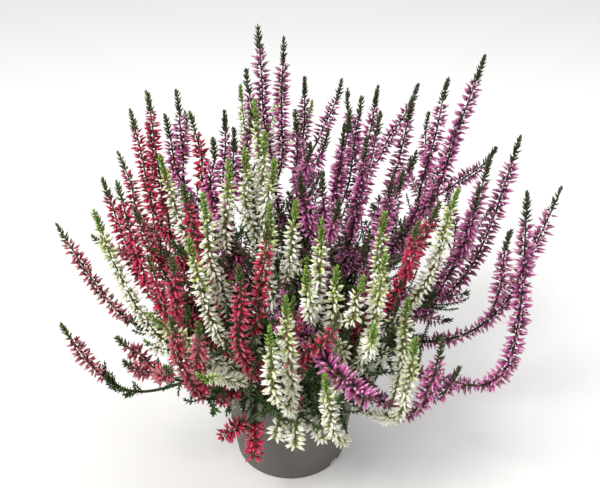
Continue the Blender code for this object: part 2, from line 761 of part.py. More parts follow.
def make_wood(plant):
    """The woody base, from its foot in the soil to where the stems part."""
    points = []
    centre = [value * MM for value in plant.crown]
    levels = ((WOOD_FOOT, WOOD_RADIUS), (BRANCHING_HEIGHTS[0], WOOD_RADIUS), (WOOD_TOP, WOOD_TOP_RADIUS))
    for height, radius in levels:
        for k in range(WOOD_SIDES):
            angle = 2 * math.pi * k / WOOD_SIDES
            x, y = radius * math.cos(angle), radius * math.sin(angle)
            points.append((centre[0] + x, centre[1] + y, height))
    faces = [tuple(reversed(range(WOOD_SIDES))), tuple(range(2 * WOOD_SIDES, 3 * WOOD_SIDES))]
    for j in range(2):
        for k in range(WOOD_SIDES):
            a, b = j * WOOD_SIDES + k, j * WOOD_SIDES + (k + 1) % WOOD_SIDES
            faces.append((a, b, b + WOOD_SIDES, a + WOOD_SIDES))
    return new_object(plant.name + "_wood", points, faces)


def main():
    for obj in list(bpy.data.objects):
        bpy.data.objects.remove(obj)
    make_pot()
    make_soil()
    stems = []
    for index, spray in enumerate(SPRAYS, 1):
        stems += grow_spray(spray, index)
    for plant in PLANTS.values():
        stems += grow_shoots(plant) + [wood_core(plant)]
    spread_apart(stems)
    match_headings(stems)
    green = new_material("heather_leaf", (0.05, 0.11, 0.03), 0.6)
    colours = {
        "red": new_material("red_buds", (0.60, 0.02, 0.07), 0.5),
        "white": new_material("white_buds", (0.80, 0.82, 0.62), 0.5),
        "purple": new_material("purple_buds", (0.36, 0.07, 0.22), 0.5),
    }
    for plant in PLANTS.values():
        own = [stem for stem in stems if stem.body == plant.name and stem.kind != "wood"]
        pieces = [make_wood(plant)]
        for i, stem in enumerate(own):
            pieces.append(relief_tube(f"{plant.name}_{i}", stem, leafy_rings(stem), i * STEM_TURN))
        fuse(plant.name, pieces, green)
    for index, spray in enumerate(SPRAYS, 1):
        name = f"{spray.plant}_spray_{index:02d}"
        own = [stem for stem in stems if stem.body == name]
        pieces = [
            relief_tube(f"{name}_{i}", stem, spike_rings(stem), i * SPIKE_TURN + index)
            for i, stem in enumerate(own)
        ]
        fuse(name, pieces, colours[spray.plant])


main()
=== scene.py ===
"""The looks of three bud heathers in one round plastic pot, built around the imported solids.

Metres, +Z up, in the frame's own place. Every stem follows the same route as in the solids: the table
of sprays and the rules that grow and spread the stems are the same here as there.
"""

import math
import random
from collections import namedtuple

import bmesh
import bpy
import numpy as np
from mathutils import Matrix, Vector, noise


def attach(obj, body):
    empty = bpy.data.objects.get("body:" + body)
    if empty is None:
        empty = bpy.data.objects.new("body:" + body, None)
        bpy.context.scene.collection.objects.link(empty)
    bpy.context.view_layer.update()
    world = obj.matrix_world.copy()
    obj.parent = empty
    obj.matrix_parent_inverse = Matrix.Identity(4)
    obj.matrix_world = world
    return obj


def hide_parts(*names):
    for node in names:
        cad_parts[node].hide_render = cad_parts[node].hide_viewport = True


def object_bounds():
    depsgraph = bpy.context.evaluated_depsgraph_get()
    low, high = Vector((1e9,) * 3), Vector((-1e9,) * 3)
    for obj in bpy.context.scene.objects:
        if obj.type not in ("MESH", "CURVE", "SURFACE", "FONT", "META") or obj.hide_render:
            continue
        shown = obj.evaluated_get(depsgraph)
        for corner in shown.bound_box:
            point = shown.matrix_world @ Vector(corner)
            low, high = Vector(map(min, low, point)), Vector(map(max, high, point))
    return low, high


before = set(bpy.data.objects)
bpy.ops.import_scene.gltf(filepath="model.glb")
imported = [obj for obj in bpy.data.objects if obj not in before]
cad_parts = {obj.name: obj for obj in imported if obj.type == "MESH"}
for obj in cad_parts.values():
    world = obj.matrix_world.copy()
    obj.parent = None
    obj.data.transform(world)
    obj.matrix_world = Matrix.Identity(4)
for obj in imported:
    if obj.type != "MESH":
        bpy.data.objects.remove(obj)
cad_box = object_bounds()

MM = 0.001
GAP = 0.3 * MM

# Pot, sized as an 11 cm nursery pot
RIM_RADIUS = 55 * MM
POT_HEIGHT = 86 * MM
POT_SIDES = 128
BASE_RADIUS = 41 * MM
WALL = 1.3 * MM
RIM_LIP = 2.6 * MM
RIM_BAND = 7 * MM
FOOT_ROUND = 1.6 * MM
FOOT_RING_WIDTH = 5 * MM
FOOT_BOSS_RADIUS = 13 * MM
FLOOR_RAISE = 1.6 * MM
FLOOR_TOP = 3.2 * MM
SLOT_BEARINGS = (-37, 143)
SLOT_WIDTH = 10 * MM
SLOT_HEIGHT = 4.5 * MM
DRAIN_COUNT = 5
DRAIN_RADIUS = 3 * MM
DRAIN_CIRCLE = 24 * MM
DRAIN_SIDES = 24

# Soil, its fine lumps and its loose crumbs
SOIL_EDGE_HEIGHT = 73 * MM
SOIL_DOME = 4 * MM
SOIL_LUMPS = 1.6 * MM
SOIL_LUMP_SPACING = 11 * MM
FINE_LUMPS = 0.5 * MM
FINE_LUMP_SPACING = 2.2 * MM
SOIL_SIDES = 72
SOIL_RINGS = 26
CRUMB_COUNT = 420
CRUMB_SIZE = (0.6 * MM, 1.9 * MM)

# Woody base of each plant, standing in the soil
WOOD_RADIUS = 4.6 * MM
WOOD_TOP_RADIUS = 3.2 * MM
WOOD_FOOT = 58 * MM
WOOD_TOP = 96 * MM
WOOD_BERTH = 1 * MM
BRANCHING_HEIGHTS = (86 * MM, 94 * MM)

# Stems, leaves and buds as the solids have them: how far they reach, and over what lengths from the
# foot and the tip that changes
SAMPLE_STEP = 4 * MM
CURVE_SAMPLES = 200
BARE_LENGTH = 26 * MM
STEM_BERTH = 3.3 * MM
LEAF_REACH = 4 * MM
LEAF_SPACING = 20 * MM
BUD_CORE = 2.4 * MM
BUD_REACH = 6.2 * MM
BUD_FOOT = 3 * MM
OPENING_START = 0.55
OPENING_LENGTH = 20 * MM
CLOSING_START = 0.6
CLOSING_LENGTH = 30 * MM
SIDE_SPIKE_FOOT = 28 * MM
SIDE_SPIKE_FOOT_SHARE = 0.35
SIDE_SPIKE_START = 2.5 * MM
GREEN_TIP_LENGTH = 16 * MM
GREEN_TIP_SHARE = 0.25
GREEN_TIP_REACH = 2.6 * MM

# A direction along which no stem starts, from which its side directions are worked out, and one for
# the buds and leaves
SIDE_HINT = (0.31, 0.87, 0.19)
ROLL_HINT = (0.21, 0.33, 0.92)

# A stem's curve: the furthest that it leans at its start, in degrees, how strongly it is pulled at its
# ends, and how much more for its bend. Starts step by this share through the branching heights
STEEPEST_START = 86
STEM_PULL = 1.1
BEND_PULL = 0.6
GOLDEN_SHARE = 0.618

# Leafy shoots without buds: how far they fan out to either side of the way out from the pot's
# middle and their lean, in degrees, their length, and the share of the lean that their tips keep
SHOOT_FAN = 85
SHOOT_LEAN = (35, 78)
SHOOT_LENGTH = (62 * MM, 92 * MM)
SHOOT_TIP_LEAN = 0.5

Plant = namedtuple("Plant", "name crown shoots")
PLANTS = {
    "red": Plant("red_heather", (-19, -5), 5),
    "white": Plant("white_heather", (5, -19), 5),
    "purple": Plant("purple_heather", (13, 15), 5),
}

# Each spray: the tips of its spikes (mm to the right, to the back and up), the lean of its tips from
# upright in degrees, the length in mm of its first spike, and the degrees by which its stem swings
# sideways, if it does
Spray = namedtuple("Spray", "plant tips lean bloom swing", defaults=(0,))
SPRAY_ROWS = {
    "red": (
        (((-143, -25, 203),), 20, 100),
        (((-130, -80, 167),), 18, 85),
        (((-103, -50, 245), (-92, -62, 248)), 10, 105),
        (((-98, 12, 263), (-90, 27, 270)), 8, 105),
        (((-57, -15, 271),), 10, 80),
        (((-102, 4, 200), (-88, 40, 212)), 16, 60),
        (((-57, -60, 246),), 10, 80),
        (((-75, -82, 214), (-60, -95, 221)), 12, 75),
        (((-98, -85, 162), (-92, -98, 155), (-63, -125, 173)), 30, 60),
        (((-60, -112, 195), (-45, -120, 197)), 14, 75),
        (((-24, -106, 222), (-10, -90, 239)), 8, 85),
        (((6, -100, 198), (26, -118, 202)), 6, 70),
        (((85, -56, 233), (71, -75, 231)), 14, 80),
        (((-22, -84, 66), (-41, -86, 84)), 150, 36),
        (((-118, 45, 222), (-100, 64, 236), (-75, 76, 240)), 20, 80),
        (((-120, 80, 160), (-95, 108, 170), (-140, 30, 165)), 35, 60),
    ),
    "white": (
        (((-109, -55, 227),), 12, 110, 10),
        (((-73, -35, 252),), 10, 65),
        (((-50, -95, 232),), 10, 90),
        (((-44, -76, 248), (-31, -62, 261)), 6, 75),
        (((-19, -20, 280),), 4, 85),
        (((-24, -42, 260), (-13, -32, 265), (-7, -55, 258)), 4, 70),
        (((-9, -80, 244), (5, -82, 247)), 5, 80),
        (((18, -98, 244), (10, -112, 225)), 6, 90),
        (((0, -122, 214), (-8, -128, 200)), 4, 100),
        (((24, -104, 181),), 4, 42),
        (((26, -103, 220), (39, -110, 218)), 8, 60),
        (((50, -105, 228), (52, -76, 237), (44, -126, 200)), 8, 85),
        (((93, -62, 244),), 12, 100),
        (((70, -102, 174), (66, -88, 190)), 4, 90),
        (((20, -128, 170),), 5, 62, 30),
        (((4, -92, 82), (-8, -88, 88), (21, -88, 86)), 140, 28),
        (((-74, -100, 188), (-48, -116, 165)), 35, 110, 20),
        (((-35, 80, 258), (-5, 92, 262), (16, 100, 240)), 10, 80),
        (((-40, 128, 180), (-5, 138, 190), (-15, 120, 215)), 30, 60),
    ),
    "purple": (
        (((-76, 6, 263), (-71, 25, 272)), 8, 65),
        (((-43, -28, 261), (-39, 2, 267), (-31, -26, 266), (-22, -8, 271)), 4, 70),
        (((-19, 35, 311), (-26, 20, 287), (-3, 30, 304)), 3, 125),
        (((4, 12, 264), (13, -20, 255), (24, -4, 257)), 3, 70),
        (((20, -45, 247), (7, -58, 252), (28, -68, 241)), 4, 65),
        (((34, -2, 260), (38, 12, 263), (46, 26, 268)), 4, 85),
        (((46, -22, 259), (57, 13, 262)), 5, 80),
        (((60, -42, 244), (69, -20, 237)), 7, 65),
        (((79, 27, 267), (79, 0, 241)), 8, 85),
        (((118, 15, 296), (100, 27, 279)), 13, 125),
        (((115, -38, 253), (107, -54, 242)), 8, 100),
        (((134, -25, 260),), 8, 130),
        (((121, -90, 255),), -8, 150, 10),
        (((160, -35, 233), (131, -45, 210)), 12, 120),
        (((84, -105, 176), (97, -97, 150)), 6, 70),
        (((44, -130, 154),), 105, 52, -38),
        (((10, 55, 272), (35, 62, 268)), 6, 75),
        (((62, 80, 258), (88, 66, 264), (42, 98, 250)), 12, 80),
        (((118, 55, 246), (140, 40, 228), (100, 82, 238)), 18, 80),
        (((150, 60, 175), (125, 95, 180), (95, 115, 190)), 32, 65),
    ),
}
SPRAYS = [Spray(plant, *row) for plant, rows in SPRAY_ROWS.items() for row in rows]

# Keeping stems of different bodies apart
SPREAD_ROUNDS = 120
SPREAD_REFRESH = 8
SPREAD_MARGIN = 0.8 * MM
SPREAD_LOOKAHEAD = 8 * MM
SPREAD_BLOCK = 400
FORK_SHARED = 22 * MM
REJOIN_POINTS = 6


def add_object(name, data):
    obj = bpy.data.objects.new(name, data)
    bpy.context.scene.collection.objects.link(obj)
    return obj


def add_shape(name, shape):
    """An object of this shape, which is used up."""
    mesh = bpy.data.meshes.new(name)
    shape.to_mesh(mesh)
    shape.free()
    return add_object(name, mesh)


def slot_cutter(bearing):
    """A box that opens the corner between the foot and the floor."""
    angle = math.radians(bearing)
    shape = bmesh.new()
    bmesh.ops.create_cube(shape, size=1)
    box = add_shape(f"slot_{bearing}", shape)
    box.scale = (2 * (FOOT_RING_WIDTH + WALL), SLOT_WIDTH, SLOT_HEIGHT * 2)
    box.location = (BASE_RADIUS * math.cos(angle), BASE_RADIUS * math.sin(angle), 0)
    box.rotation_euler = (0, 0, angle)
    return box


def drain_cutter(number):
    """An upright cylinder through the floor."""
    angle = 2 * math.pi * (number + 0.5) / DRAIN_COUNT
    low, high = -WALL, FLOOR_TOP + WALL
    size = {"radius1": DRAIN_RADIUS, "radius2": DRAIN_RADIUS, "depth": high - low}
    shape = bmesh.new()
    bmesh.ops.create_cone(shape, cap_ends=True, segments=DRAIN_SIDES, **size)
    cylinder = add_shape(f"drain_{number}", shape)
    cylinder.location = (DRAIN_CIRCLE * math.cos(angle), DRAIN_CIRCLE * math.sin(angle), (low + high) / 2)
    return cylinder


def outer_radius(height):
    """The pot wall's outside, below its rim band."""
    top = RIM_RADIUS - RIM_LIP
    return BASE_RADIUS + (top - BASE_RADIUS) * height / POT_HEIGHT


def inner_radius(height):
    return outer_radius(height) - WALL


def soil_height(x, y):
    """A low dome with lumps, level with its edge height at the pot's wall."""
    share = min(1.0, math.hypot(x, y) / inner_radius(SOIL_EDGE_HEIGHT))
    lump = noise.noise(Vector((x, y, 0)) / SOIL_LUMP_SPACING)
    return SOIL_EDGE_HEIGHT + SOIL_DOME * (1 - share**2) + SOIL_LUMPS * lump * (1 - share**4)


def direction(bearing, lean):
    out = math.sin(lean)
    return np.array([out * math.cos(bearing), out * math.sin(bearing), math.cos(lean)])


def above_crown(plant, height):
    """The point at this height over the middle of the plant's woody base."""
    return np.array([plant.crown[0] * MM, plant.crown[1] * MM, height])


def hermite(start, start_pull, end, end_pull):
    """Points of an even spacing near SAMPLE_STEP along a curve with these ends and pulls."""
    t = np.linspace(0, 1, CURVE_SAMPLES)[:, None]
    curve = (
        (2 * t**3 - 3 * t**2 + 1) * start
        + (t**3 - 2 * t**2 + t) * start_pull
        + (3 * t**2 - 2 * t**3) * end
        + (t**3 - t**2) * end_pull
    )
    length = path_lengths(curve)
    count = max(3, round(length[-1] / SAMPLE_STEP) + 1)
    return at_distances(curve, length, np.linspace(0, length[-1], count))


def at_distances(values, length, places):
    return np.stack([np.interp(places, length, values[:, axis]) for axis in range(3)], axis=1)


def path_lengths(points):
    steps = np.linalg.norm(np.diff(points, axis=0), axis=1)
    return np.concatenate([[0.0], np.cumsum(steps)])


def grown_path(start, tip, lean_at_tip, swing):
    """A stem that leaves its crown leaning out further than it ends, as a branch that turns up.
    The swing bends it sideways, by so many degrees at either end."""
    across, along = tip[0] - start[0], tip[1] - start[1]
    bearing = math.atan2(along, across)
    chord_lean = math.atan2(math.hypot(across, along), tip[2] - start[2])
    end_lean = math.radians(lean_at_tip)
    start_lean = min(2 * chord_lean - end_lean, math.radians(STEEPEST_START))
    pull = (STEM_PULL + BEND_PULL * abs(start_lean - end_lean)) * float(np.linalg.norm(tip - start))
    turn = math.radians(swing)
    start_pull = direction(bearing + turn, start_lean) * pull
    return hermite(start, start_pull, tip, direction(bearing - turn, end_lean) * pull)


class Stem:
    """A stem or spike: its kind, its points, the body and the spray that it belongs to, the length of
    its bare foot and how far it reaches at each point."""

    def __init__(self, kind, points, body, family, bare):
        self.kind = kind
        self.points = points
        self.body = body
        self.family = family
        self.bare = bare
        self.is_spike = kind in ("first_spike", "side_spike")
        length = path_lengths(points)
        reach_at = {"wood": wood_reach, "leafy": leaf_reach, "shoot": leaf_reach}.get(kind, bud_reach)
        self.reach = np.array([reach_at(s, length[-1], bare) for s in length])


def wood_reach(s, total, bare):
    return WOOD_RADIUS + WOOD_BERTH


def leaf_reach(s, total, bare):
    """How far a green stem reaches at the distance s from its foot."""
    leafy = min(1.0, max(0.0, (s - bare) / LEAF_SPACING))
    return STEM_BERTH + (LEAF_REACH - STEM_BERTH) * leafy


def bud_reach(s, total, bare):
    """How far a spike reaches at the distance s from its foot."""
    if s < bare:
        return BUD_CORE
    opening = min(1.0, OPENING_START + (s - bare) / OPENING_LENGTH)
    left = total - s
    green = min(GREEN_TIP_LENGTH, GREEN_TIP_SHARE * total)
    if left < green:
        return GREEN_TIP_REACH
    closing = min(1.0, CLOSING_START + (left - green) / CLOSING_LENGTH)
    return BUD_REACH * min(opening, closing)


def grow_spray(spray, index):
    """The green stem and the spikes of one spray."""
    plant = PLANTS[spray.plant]
    low, high = BRANCHING_HEIGHTS
    tips = [np.array(tip) * MM for tip in spray.tips]
    start = above_crown(plant, low + (high - low) * (index * GOLDEN_SHARE % 1))
    whole = grown_path(start, tips[0], spray.lean, spray.swing)
    length = path_lengths(whole)
    bloom = min(spray.bloom * MM, length[-1] - BARE_LENGTH)
    foot = int(np.searchsorted(length, length[-1] - bloom))
    body = spray_name(spray, index)
    stems = [
        Stem("leafy", whole[: foot + 1], plant.name, body, BARE_LENGTH),
        Stem("first_spike", whole[foot:], body, body, BUD_FOOT),
    ]
    heading = whole[foot + 1] - whole[foot]
    heading = heading / np.linalg.norm(heading)
    fork = whole[foot] + heading * SIDE_SPIKE_START
    for tip in tips[1:]:
        reach = float(np.linalg.norm(tip - fork))
        end = direction(math.atan2(tip[1], tip[0]), math.radians(spray.lean))
        points = hermite(fork, heading * reach, tip, end * reach)
        bare = min(SIDE_SPIKE_FOOT, reach * SIDE_SPIKE_FOOT_SHARE)
        stems.append(Stem("side_spike", points, body, body, bare))
    return stems


def spray_name(spray, index):
    return f"{spray.plant}_spray_{index:02d}"


def wood_core(plant):
    """The middle line of the woody base above the soil, which other plants' stems keep clear of."""
    heights = np.arange(SOIL_EDGE_HEIGHT, WOOD_TOP, SAMPLE_STEP)
    points = np.array([above_crown(plant, height) for height in heights])
    return Stem("wood", points, plant.name, plant.name + "_wood", 0)


def grow_shoots(plant):
    """Short leafy stems without buds that fill the plant's lower part."""
    draw = random.Random(plant.name)
    away = math.atan2(plant.crown[1], plant.crown[0])
    start = above_crown(plant, BRANCHING_HEIGHTS[1])
    shoots = []
    for i in range(plant.shoots):
        bearing = away + math.radians(draw.uniform(-SHOOT_FAN, SHOOT_FAN))
        lean = math.radians(draw.uniform(*SHOOT_LEAN))
        tip = start + direction(bearing, lean) * draw.uniform(*SHOOT_LENGTH)
        points = grown_path(start, tip, math.degrees(lean) * SHOOT_TIP_LEAN, 0)
        shoots.append(Stem("shoot", points, plant.name, f"{plant.name}_shoot_{i}", BARE_LENGTH))
    return shoots


def spread_apart(stems):
    """Bends stems of different bodies clear of each other, of the rim and of the soil."""
    points = np.concatenate([stem.points for stem in stems])
    reach = np.concatenate([stem.reach for stem in stems])
    stem_of = np.concatenate([[i] * len(stem.points) for i, stem in enumerate(stems)])
    body_of = np.unique([stems[i].body for i in stem_of], return_inverse=True)[1]
    family_of = np.unique([stems[i].family for i in stem_of], return_inverse=True)[1]
    along = np.concatenate([path_lengths(stem.points) for stem in stems])
    first = np.concatenate([[0], np.cumsum([len(stem.points) for stem in stems])])
    spike = np.array([stem.is_spike for stem in stems])[stem_of]
    for turn in range(SPREAD_ROUNDS):
        if turn % SPREAD_REFRESH == 0:
            a, b = near_pairs(points, reach, stem_of, body_of, family_of, along, spike)
        apart = points[a] - points[b]
        distance = np.linalg.norm(apart, axis=1) + 1e-9
        short = reach[a] + reach[b] + SPREAD_MARGIN - distance
        push = apart / distance[:, None] * (np.clip(short, 0, None) * 0.5)[:, None]
        total = np.zeros_like(points)
        weight = np.zeros(len(points))
        np.add.at(total, a, push)
        np.add.at(total, b, -push)
        touching = (short > 0).astype(float)
        np.add.at(weight, a, touching)
        np.add.at(weight, b, touching)
        moved = total / np.maximum(weight, 1)[:, None]
        moved += clear_of_pot(points, reach)
        for i, stem in enumerate(stems):
            part = slice(first[i], first[i + 1])
            moved[part] = 0 if stem.kind == "wood" else smoothed(moved[part])
        points = points + moved
        rejoin(points, stems, first)
    for i, stem in enumerate(stems):
        stem.points = points[first[i] : first[i + 1]]


def near_pairs(points, reach, stem_of, body_of, family_of, along, spike):
    """Index pairs of points that may touch, of different bodies or of two spikes past their fork."""
    found_a, found_b = [], []
    for start in range(0, len(points), SPREAD_BLOCK):
        block = slice(start, start + SPREAD_BLOCK)
        distance = np.linalg.norm(points[block, None, :] - points[None, :, :], axis=2)
        close = distance < reach[block, None] + reach[None, :] + SPREAD_LOOKAHEAD
        apart = body_of[block, None] != body_of[None, :]
        apart &= family_of[block, None] != family_of[None, :]
        sisters = (body_of[block, None] == body_of[None, :]) & spike[block, None]
        sisters &= stem_of[block, None] != stem_of[None, :]
        sisters &= (along[block, None] > FORK_SHARED) & (along[None, :] > FORK_SHARED)
        rows, columns = np.nonzero(close & (apart | sisters))
        rows = rows + start
        keep = rows < columns
        found_a.append(rows[keep])
        found_b.append(columns[keep])
    return np.concatenate(found_a), np.concatenate(found_b)


def clear_of_pot(points, reach):
    """A push away from the rim, the outer wall and the soil."""
    radial = np.linalg.norm(points[:, :2], axis=1) + 1e-9
    outward = np.stack([points[:, 0] / radial, points[:, 1] / radial, np.zeros(len(points))], axis=1)
    push = np.zeros_like(points)
    rim = RIM_RADIUS - RIM_LIP / 2
    from_rim = np.stack([radial - rim, points[:, 2] - POT_HEIGHT], axis=1)
    distance = np.linalg.norm(from_rim, axis=1) + 1e-9
    short = np.clip(reach + RIM_LIP + SPREAD_MARGIN - distance, 0, None)
    push += outward * (from_rim[:, 0] / distance * short)[:, None]
    push[:, 2] += from_rim[:, 1] / distance * short
    beside = (points[:, 2] < POT_HEIGHT) & (radial > rim)
    into_wall = np.clip(RIM_RADIUS + reach + SPREAD_MARGIN - radial, 0, None) * beside
    push += outward * into_wall[:, None]
    over = radial <= rim
    floor = SOIL_EDGE_HEIGHT + SOIL_DOME + SOIL_LUMPS
    push[:, 2] += np.clip(floor + reach + SPREAD_MARGIN - points[:, 2], 0, None) * over
    return push


def smoothed(moves):
    """Spreads each push along its stem, and holds the stem's start still."""
    padded = np.concatenate([moves[:1], moves[:1], moves, moves[-1:], moves[-1:]])
    even = padded[:-4] + 2 * padded[1:-3] + 3 * padded[2:-2] + 2 * padded[3:-1] + padded[4:]
    return even / 9 * np.clip(np.arange(len(moves)) / 2, 0, 1)[:, None]


def rejoin(points, stems, first):
    """Puts the foot of each spike back on the end of its green stem."""
    feet = {}
    for i, stem in enumerate(stems):
        if stem.kind == "leafy":
            feet[stem.family] = points[first[i + 1] - 1]
    for i, stem in enumerate(stems):
        if stem.is_spike:
            rise = points[first[i] + 1] - points[first[i]]
            rise *= SIDE_SPIKE_START / np.linalg.norm(rise) if stem.kind == "side_spike" else 0
            shift = feet[stem.family] + rise - points[first[i]]
            fade = np.clip(1 - np.arange(len(stem.points)) / REJOIN_POINTS, 0, 1)[:, None]
            points[first[i] : first[i + 1]] += shift * fade


# Pattern map: its rows, each for one shade, the margin left in each, and the rows where the faded
# and the young shades begin
ROWS = 32
ROW_MARGIN = 0.06
FADED_FROM = 16
YOUNG_FROM = 25

# Buds: four stand around the spike at each step, and the next four an eighth of a turn on. They are
# closer and larger on a spike whose end points down, which keeps little of its green tip. Their lift
# goes by the share of the way, and their size by the way from the spike's foot and to its end. Some
# have a bract beside them
WHORL_STEP = 2.2 * MM
HANGING_STEP = 1.4 * MM
HANGING_SIZE = 1.2
HANGING_BELOW = 0.1
HANGING_TIP = 0.15
BUDS_IN_WHORL = 4
WHORL_TURN = math.pi / BUDS_IN_WHORL + 0.05
WHORL_SCATTER = 0.25
BUD_SEAT = 0.7 * MM
BUD_JITTER = 0.3 * MM
LIFT_PLACES = (0, 0.5, 0.85, 1)
SIZE_FROM_FOOT = ((0, 12 * MM), (0.75, 1))
SIZE_FROM_END = ((0, 3 * MM, 12 * MM), (0.55, 0.8, 1))
BRACT_SHARE = 0.5
BRACT_LENGTH = 3.0 * MM
BRACT_HALF_WIDTH = 0.7 * MM
SPIKE_STEM_RADIUS = (0.9 * MM, 0.4 * MM)

# Faded buds: a few anywhere, and more from this far out and this low on, over these lengths. Young
# ones stand near the tip: none before the first share of the way, and more over the second
FADED_ANYWHERE = 0.06
FADING_OUT = (75 * MM, 50 * MM)
FADING_DOWN = (250 * MM, 90 * MM)
YOUNG_SHARES = (0.65, 0.4)

# Leaves in pairs: the turn from one pair to the next, and how much turns and lifts vary
PAIR_TURN = math.pi / 2 + 0.09
PAIR_SCATTER = 0.22
LEAF_LIFT_SCATTER = 0.12
BUD_LIFT_SCATTER = 0.2

# Side shoots, shoots at the leafy foot of a low spike and shoots that trail over the rim: their steps
# or number, their lengths, and how they lean and bend. Trailing ones grow where a stem is low and near
# the rim. Side shoots start at the first distance and have their full length from the second on
SHOOT_STEP = 3.3 * MM
SIDE_SHOOT_LENGTH = (14 * MM, 34 * MM)
SIDE_SHOOT_LEAN = (0.5, 1.15)
SIDE_SHOOT_BEND = (0.1, 0.5)
BENDS_DOWN = 0.5
FOOT_SHOOT_STEP = 1.8 * MM
FOOT_SHOOT_LENGTH = (7 * MM, 12 * MM)
FOOT_SHOOT_LEAN = (0.4, 0.9)
FOOT_SHOOT_BEND = (0.1, 0.4)
TRAILING_LENGTH = (14 * MM, 32 * MM)
TRAILING_BEND = (0.3, 0.8)
TRAILING_COUNT = 10
TRAILING_HEIGHT = 132 * MM
TRAILING_REACH = (-26 * MM, 14 * MM)
SHOOT_STALK = (0.5 * MM, 0.25 * MM)
BUDDED_STALK = (0.6 * MM, 0.4 * MM)
GREEN_STEM_RADIUS = (1.5 * MM, 0.9 * MM)
SHOOT_STARTS = (9 * MM, 40 * MM)
FIRST_LEAVES = 12 * MM
TURN_TO_NEXT = 2.4
TURN_TO_RETRY = 1.3
TRIES = 6

# Where shoots may be: how far they keep from the pot and inside the solids' box, and how low they may
# come at the rim with leaves and with buds, which rises by the climb for each length further out.
# Low shoots may bend down, and few shoots have buds below the last height
SHOOT_CLEARANCE = 1.5 * MM
BOX_MARGIN = 0.4 * MM
LOWEST_LEAVES = 67 * MM
LOWEST_BUDS = 74 * MM
CLIMB = 0.8
LOW_SHOOTS = 118 * MM
FEW_BUDS_BELOW = 165 * MM

# Low sprays whose foot is in leaf and not in bud: how much of each
LEAFY_SHARES = {1: 0.15, 2: 0.4, 9: 0.2, 14: 0.35, 16: 0.2, 33: 0.15, 55: 0.2}

# Camera and studio
PHOTO_FOCAL_PX = 724
PHOTO_WIDTH_PX = 600
SENSOR_WIDTH = 36
CAMERA_PLACE = (7 * MM, -419 * MM, 411 * MM)
CAMERA_PITCH = 29.4
FLOOR_REACH = 3.0
# The floor's glow, which is painted light: the distance over which it rises, and its strength near the pot
# and beyond
GLOW_REACH = 0.7
FLOOR_GLOW = (0.14, 0.5)
SKY_COLOUR = (0.96, 0.98, 1, 1)
SKY_STRENGTH = 0.3
LIGHTS_AIM = (0, 0, 0.15)

Form = namedtuple("Form", "points faces uvs")


def closed_faces(rings, sides, foot, end):
    """Faces of a closed form from a point through rings to a point, and their places on the map.
    Rings are given by their places along it. Foot and end are each the place of the point there, that
    of the ring next to it, and how far across each face the point is."""
    last = 1 + len(rings) * sides
    faces, uvs = [], []
    for k in range(sides):
        after = (k + 1) % sides
        low, high = k / sides, (k + 1) / sides
        faces.append((0, 1 + after, 1 + k))
        uvs.append(((foot[0], low + (high - low) * foot[2]), (foot[1], high), (foot[1], low)))
        for j in range(len(rings) - 1):
            a, b = 1 + j * sides + k, 1 + j * sides + after
            x, ahead = rings[j], rings[j + 1]
            faces += [(a, b, b + sides), (a, b + sides, a + sides)]
            uvs += [((x, low), (x, high), (ahead, high)), ((x, low), (ahead, high), (ahead, low))]
        faces.append((last - sides + k, last - sides + after, last))
        uvs.append(((end[1], low), (end[1], high), (end[0], low + (high - low) * end[2])))
    return np.array(faces), np.array(uvs, float)


def spindle(stations, sides):
    """A closed form along x, from a point through rings of (distance, radius) to a point."""
    places = [x for x, radius in stations]
    points = [(places[0], 0, 0)]
    for x, radius in stations[1:-1]:
        for k in range(sides):
            angle = 2 * math.pi * k / sides
            points.append((x, radius * math.cos(angle), radius * math.sin(angle)))
    points.append((places[-1], 0, 0))
    ends = (places[0], places[1], 0.5), (places[-1], places[-2], 0.5)
    return Form(np.array(points, float), *closed_faces(places[1:-1], sides, *ends))


BUD = spindle([(0, 0), (0.36, 1), (0.76, 0.6), (1, 0)], 5)
TIP_LEAF = spindle([(0, 0), (0.35, 1), (1, 0)], 3)
CRUMB = spindle([(-1, 0), (-0.5, 0.8), (0.45, 0.9), (1, 0)], 5)

# A scale leaf folded along its middle: foot, two edges and point
LEAF_CORNERS = np.array([(0, 0, 0), (0.4, 1, 0.9), (0.4, -1, 0.9), (1, 0, 0.2)], float)
LEAF_FACES = np.array([(0, 1, 2), (1, 3, 2), (0, 3, 1), (0, 2, 3)])
LEAF_PLACES = np.array([(0, 0.5), (0.4, 1), (0.4, 0), (1, 0.5)])
SCALE_LEAF = Form(LEAF_CORNERS, LEAF_FACES, LEAF_PLACES[LEAF_FACES])


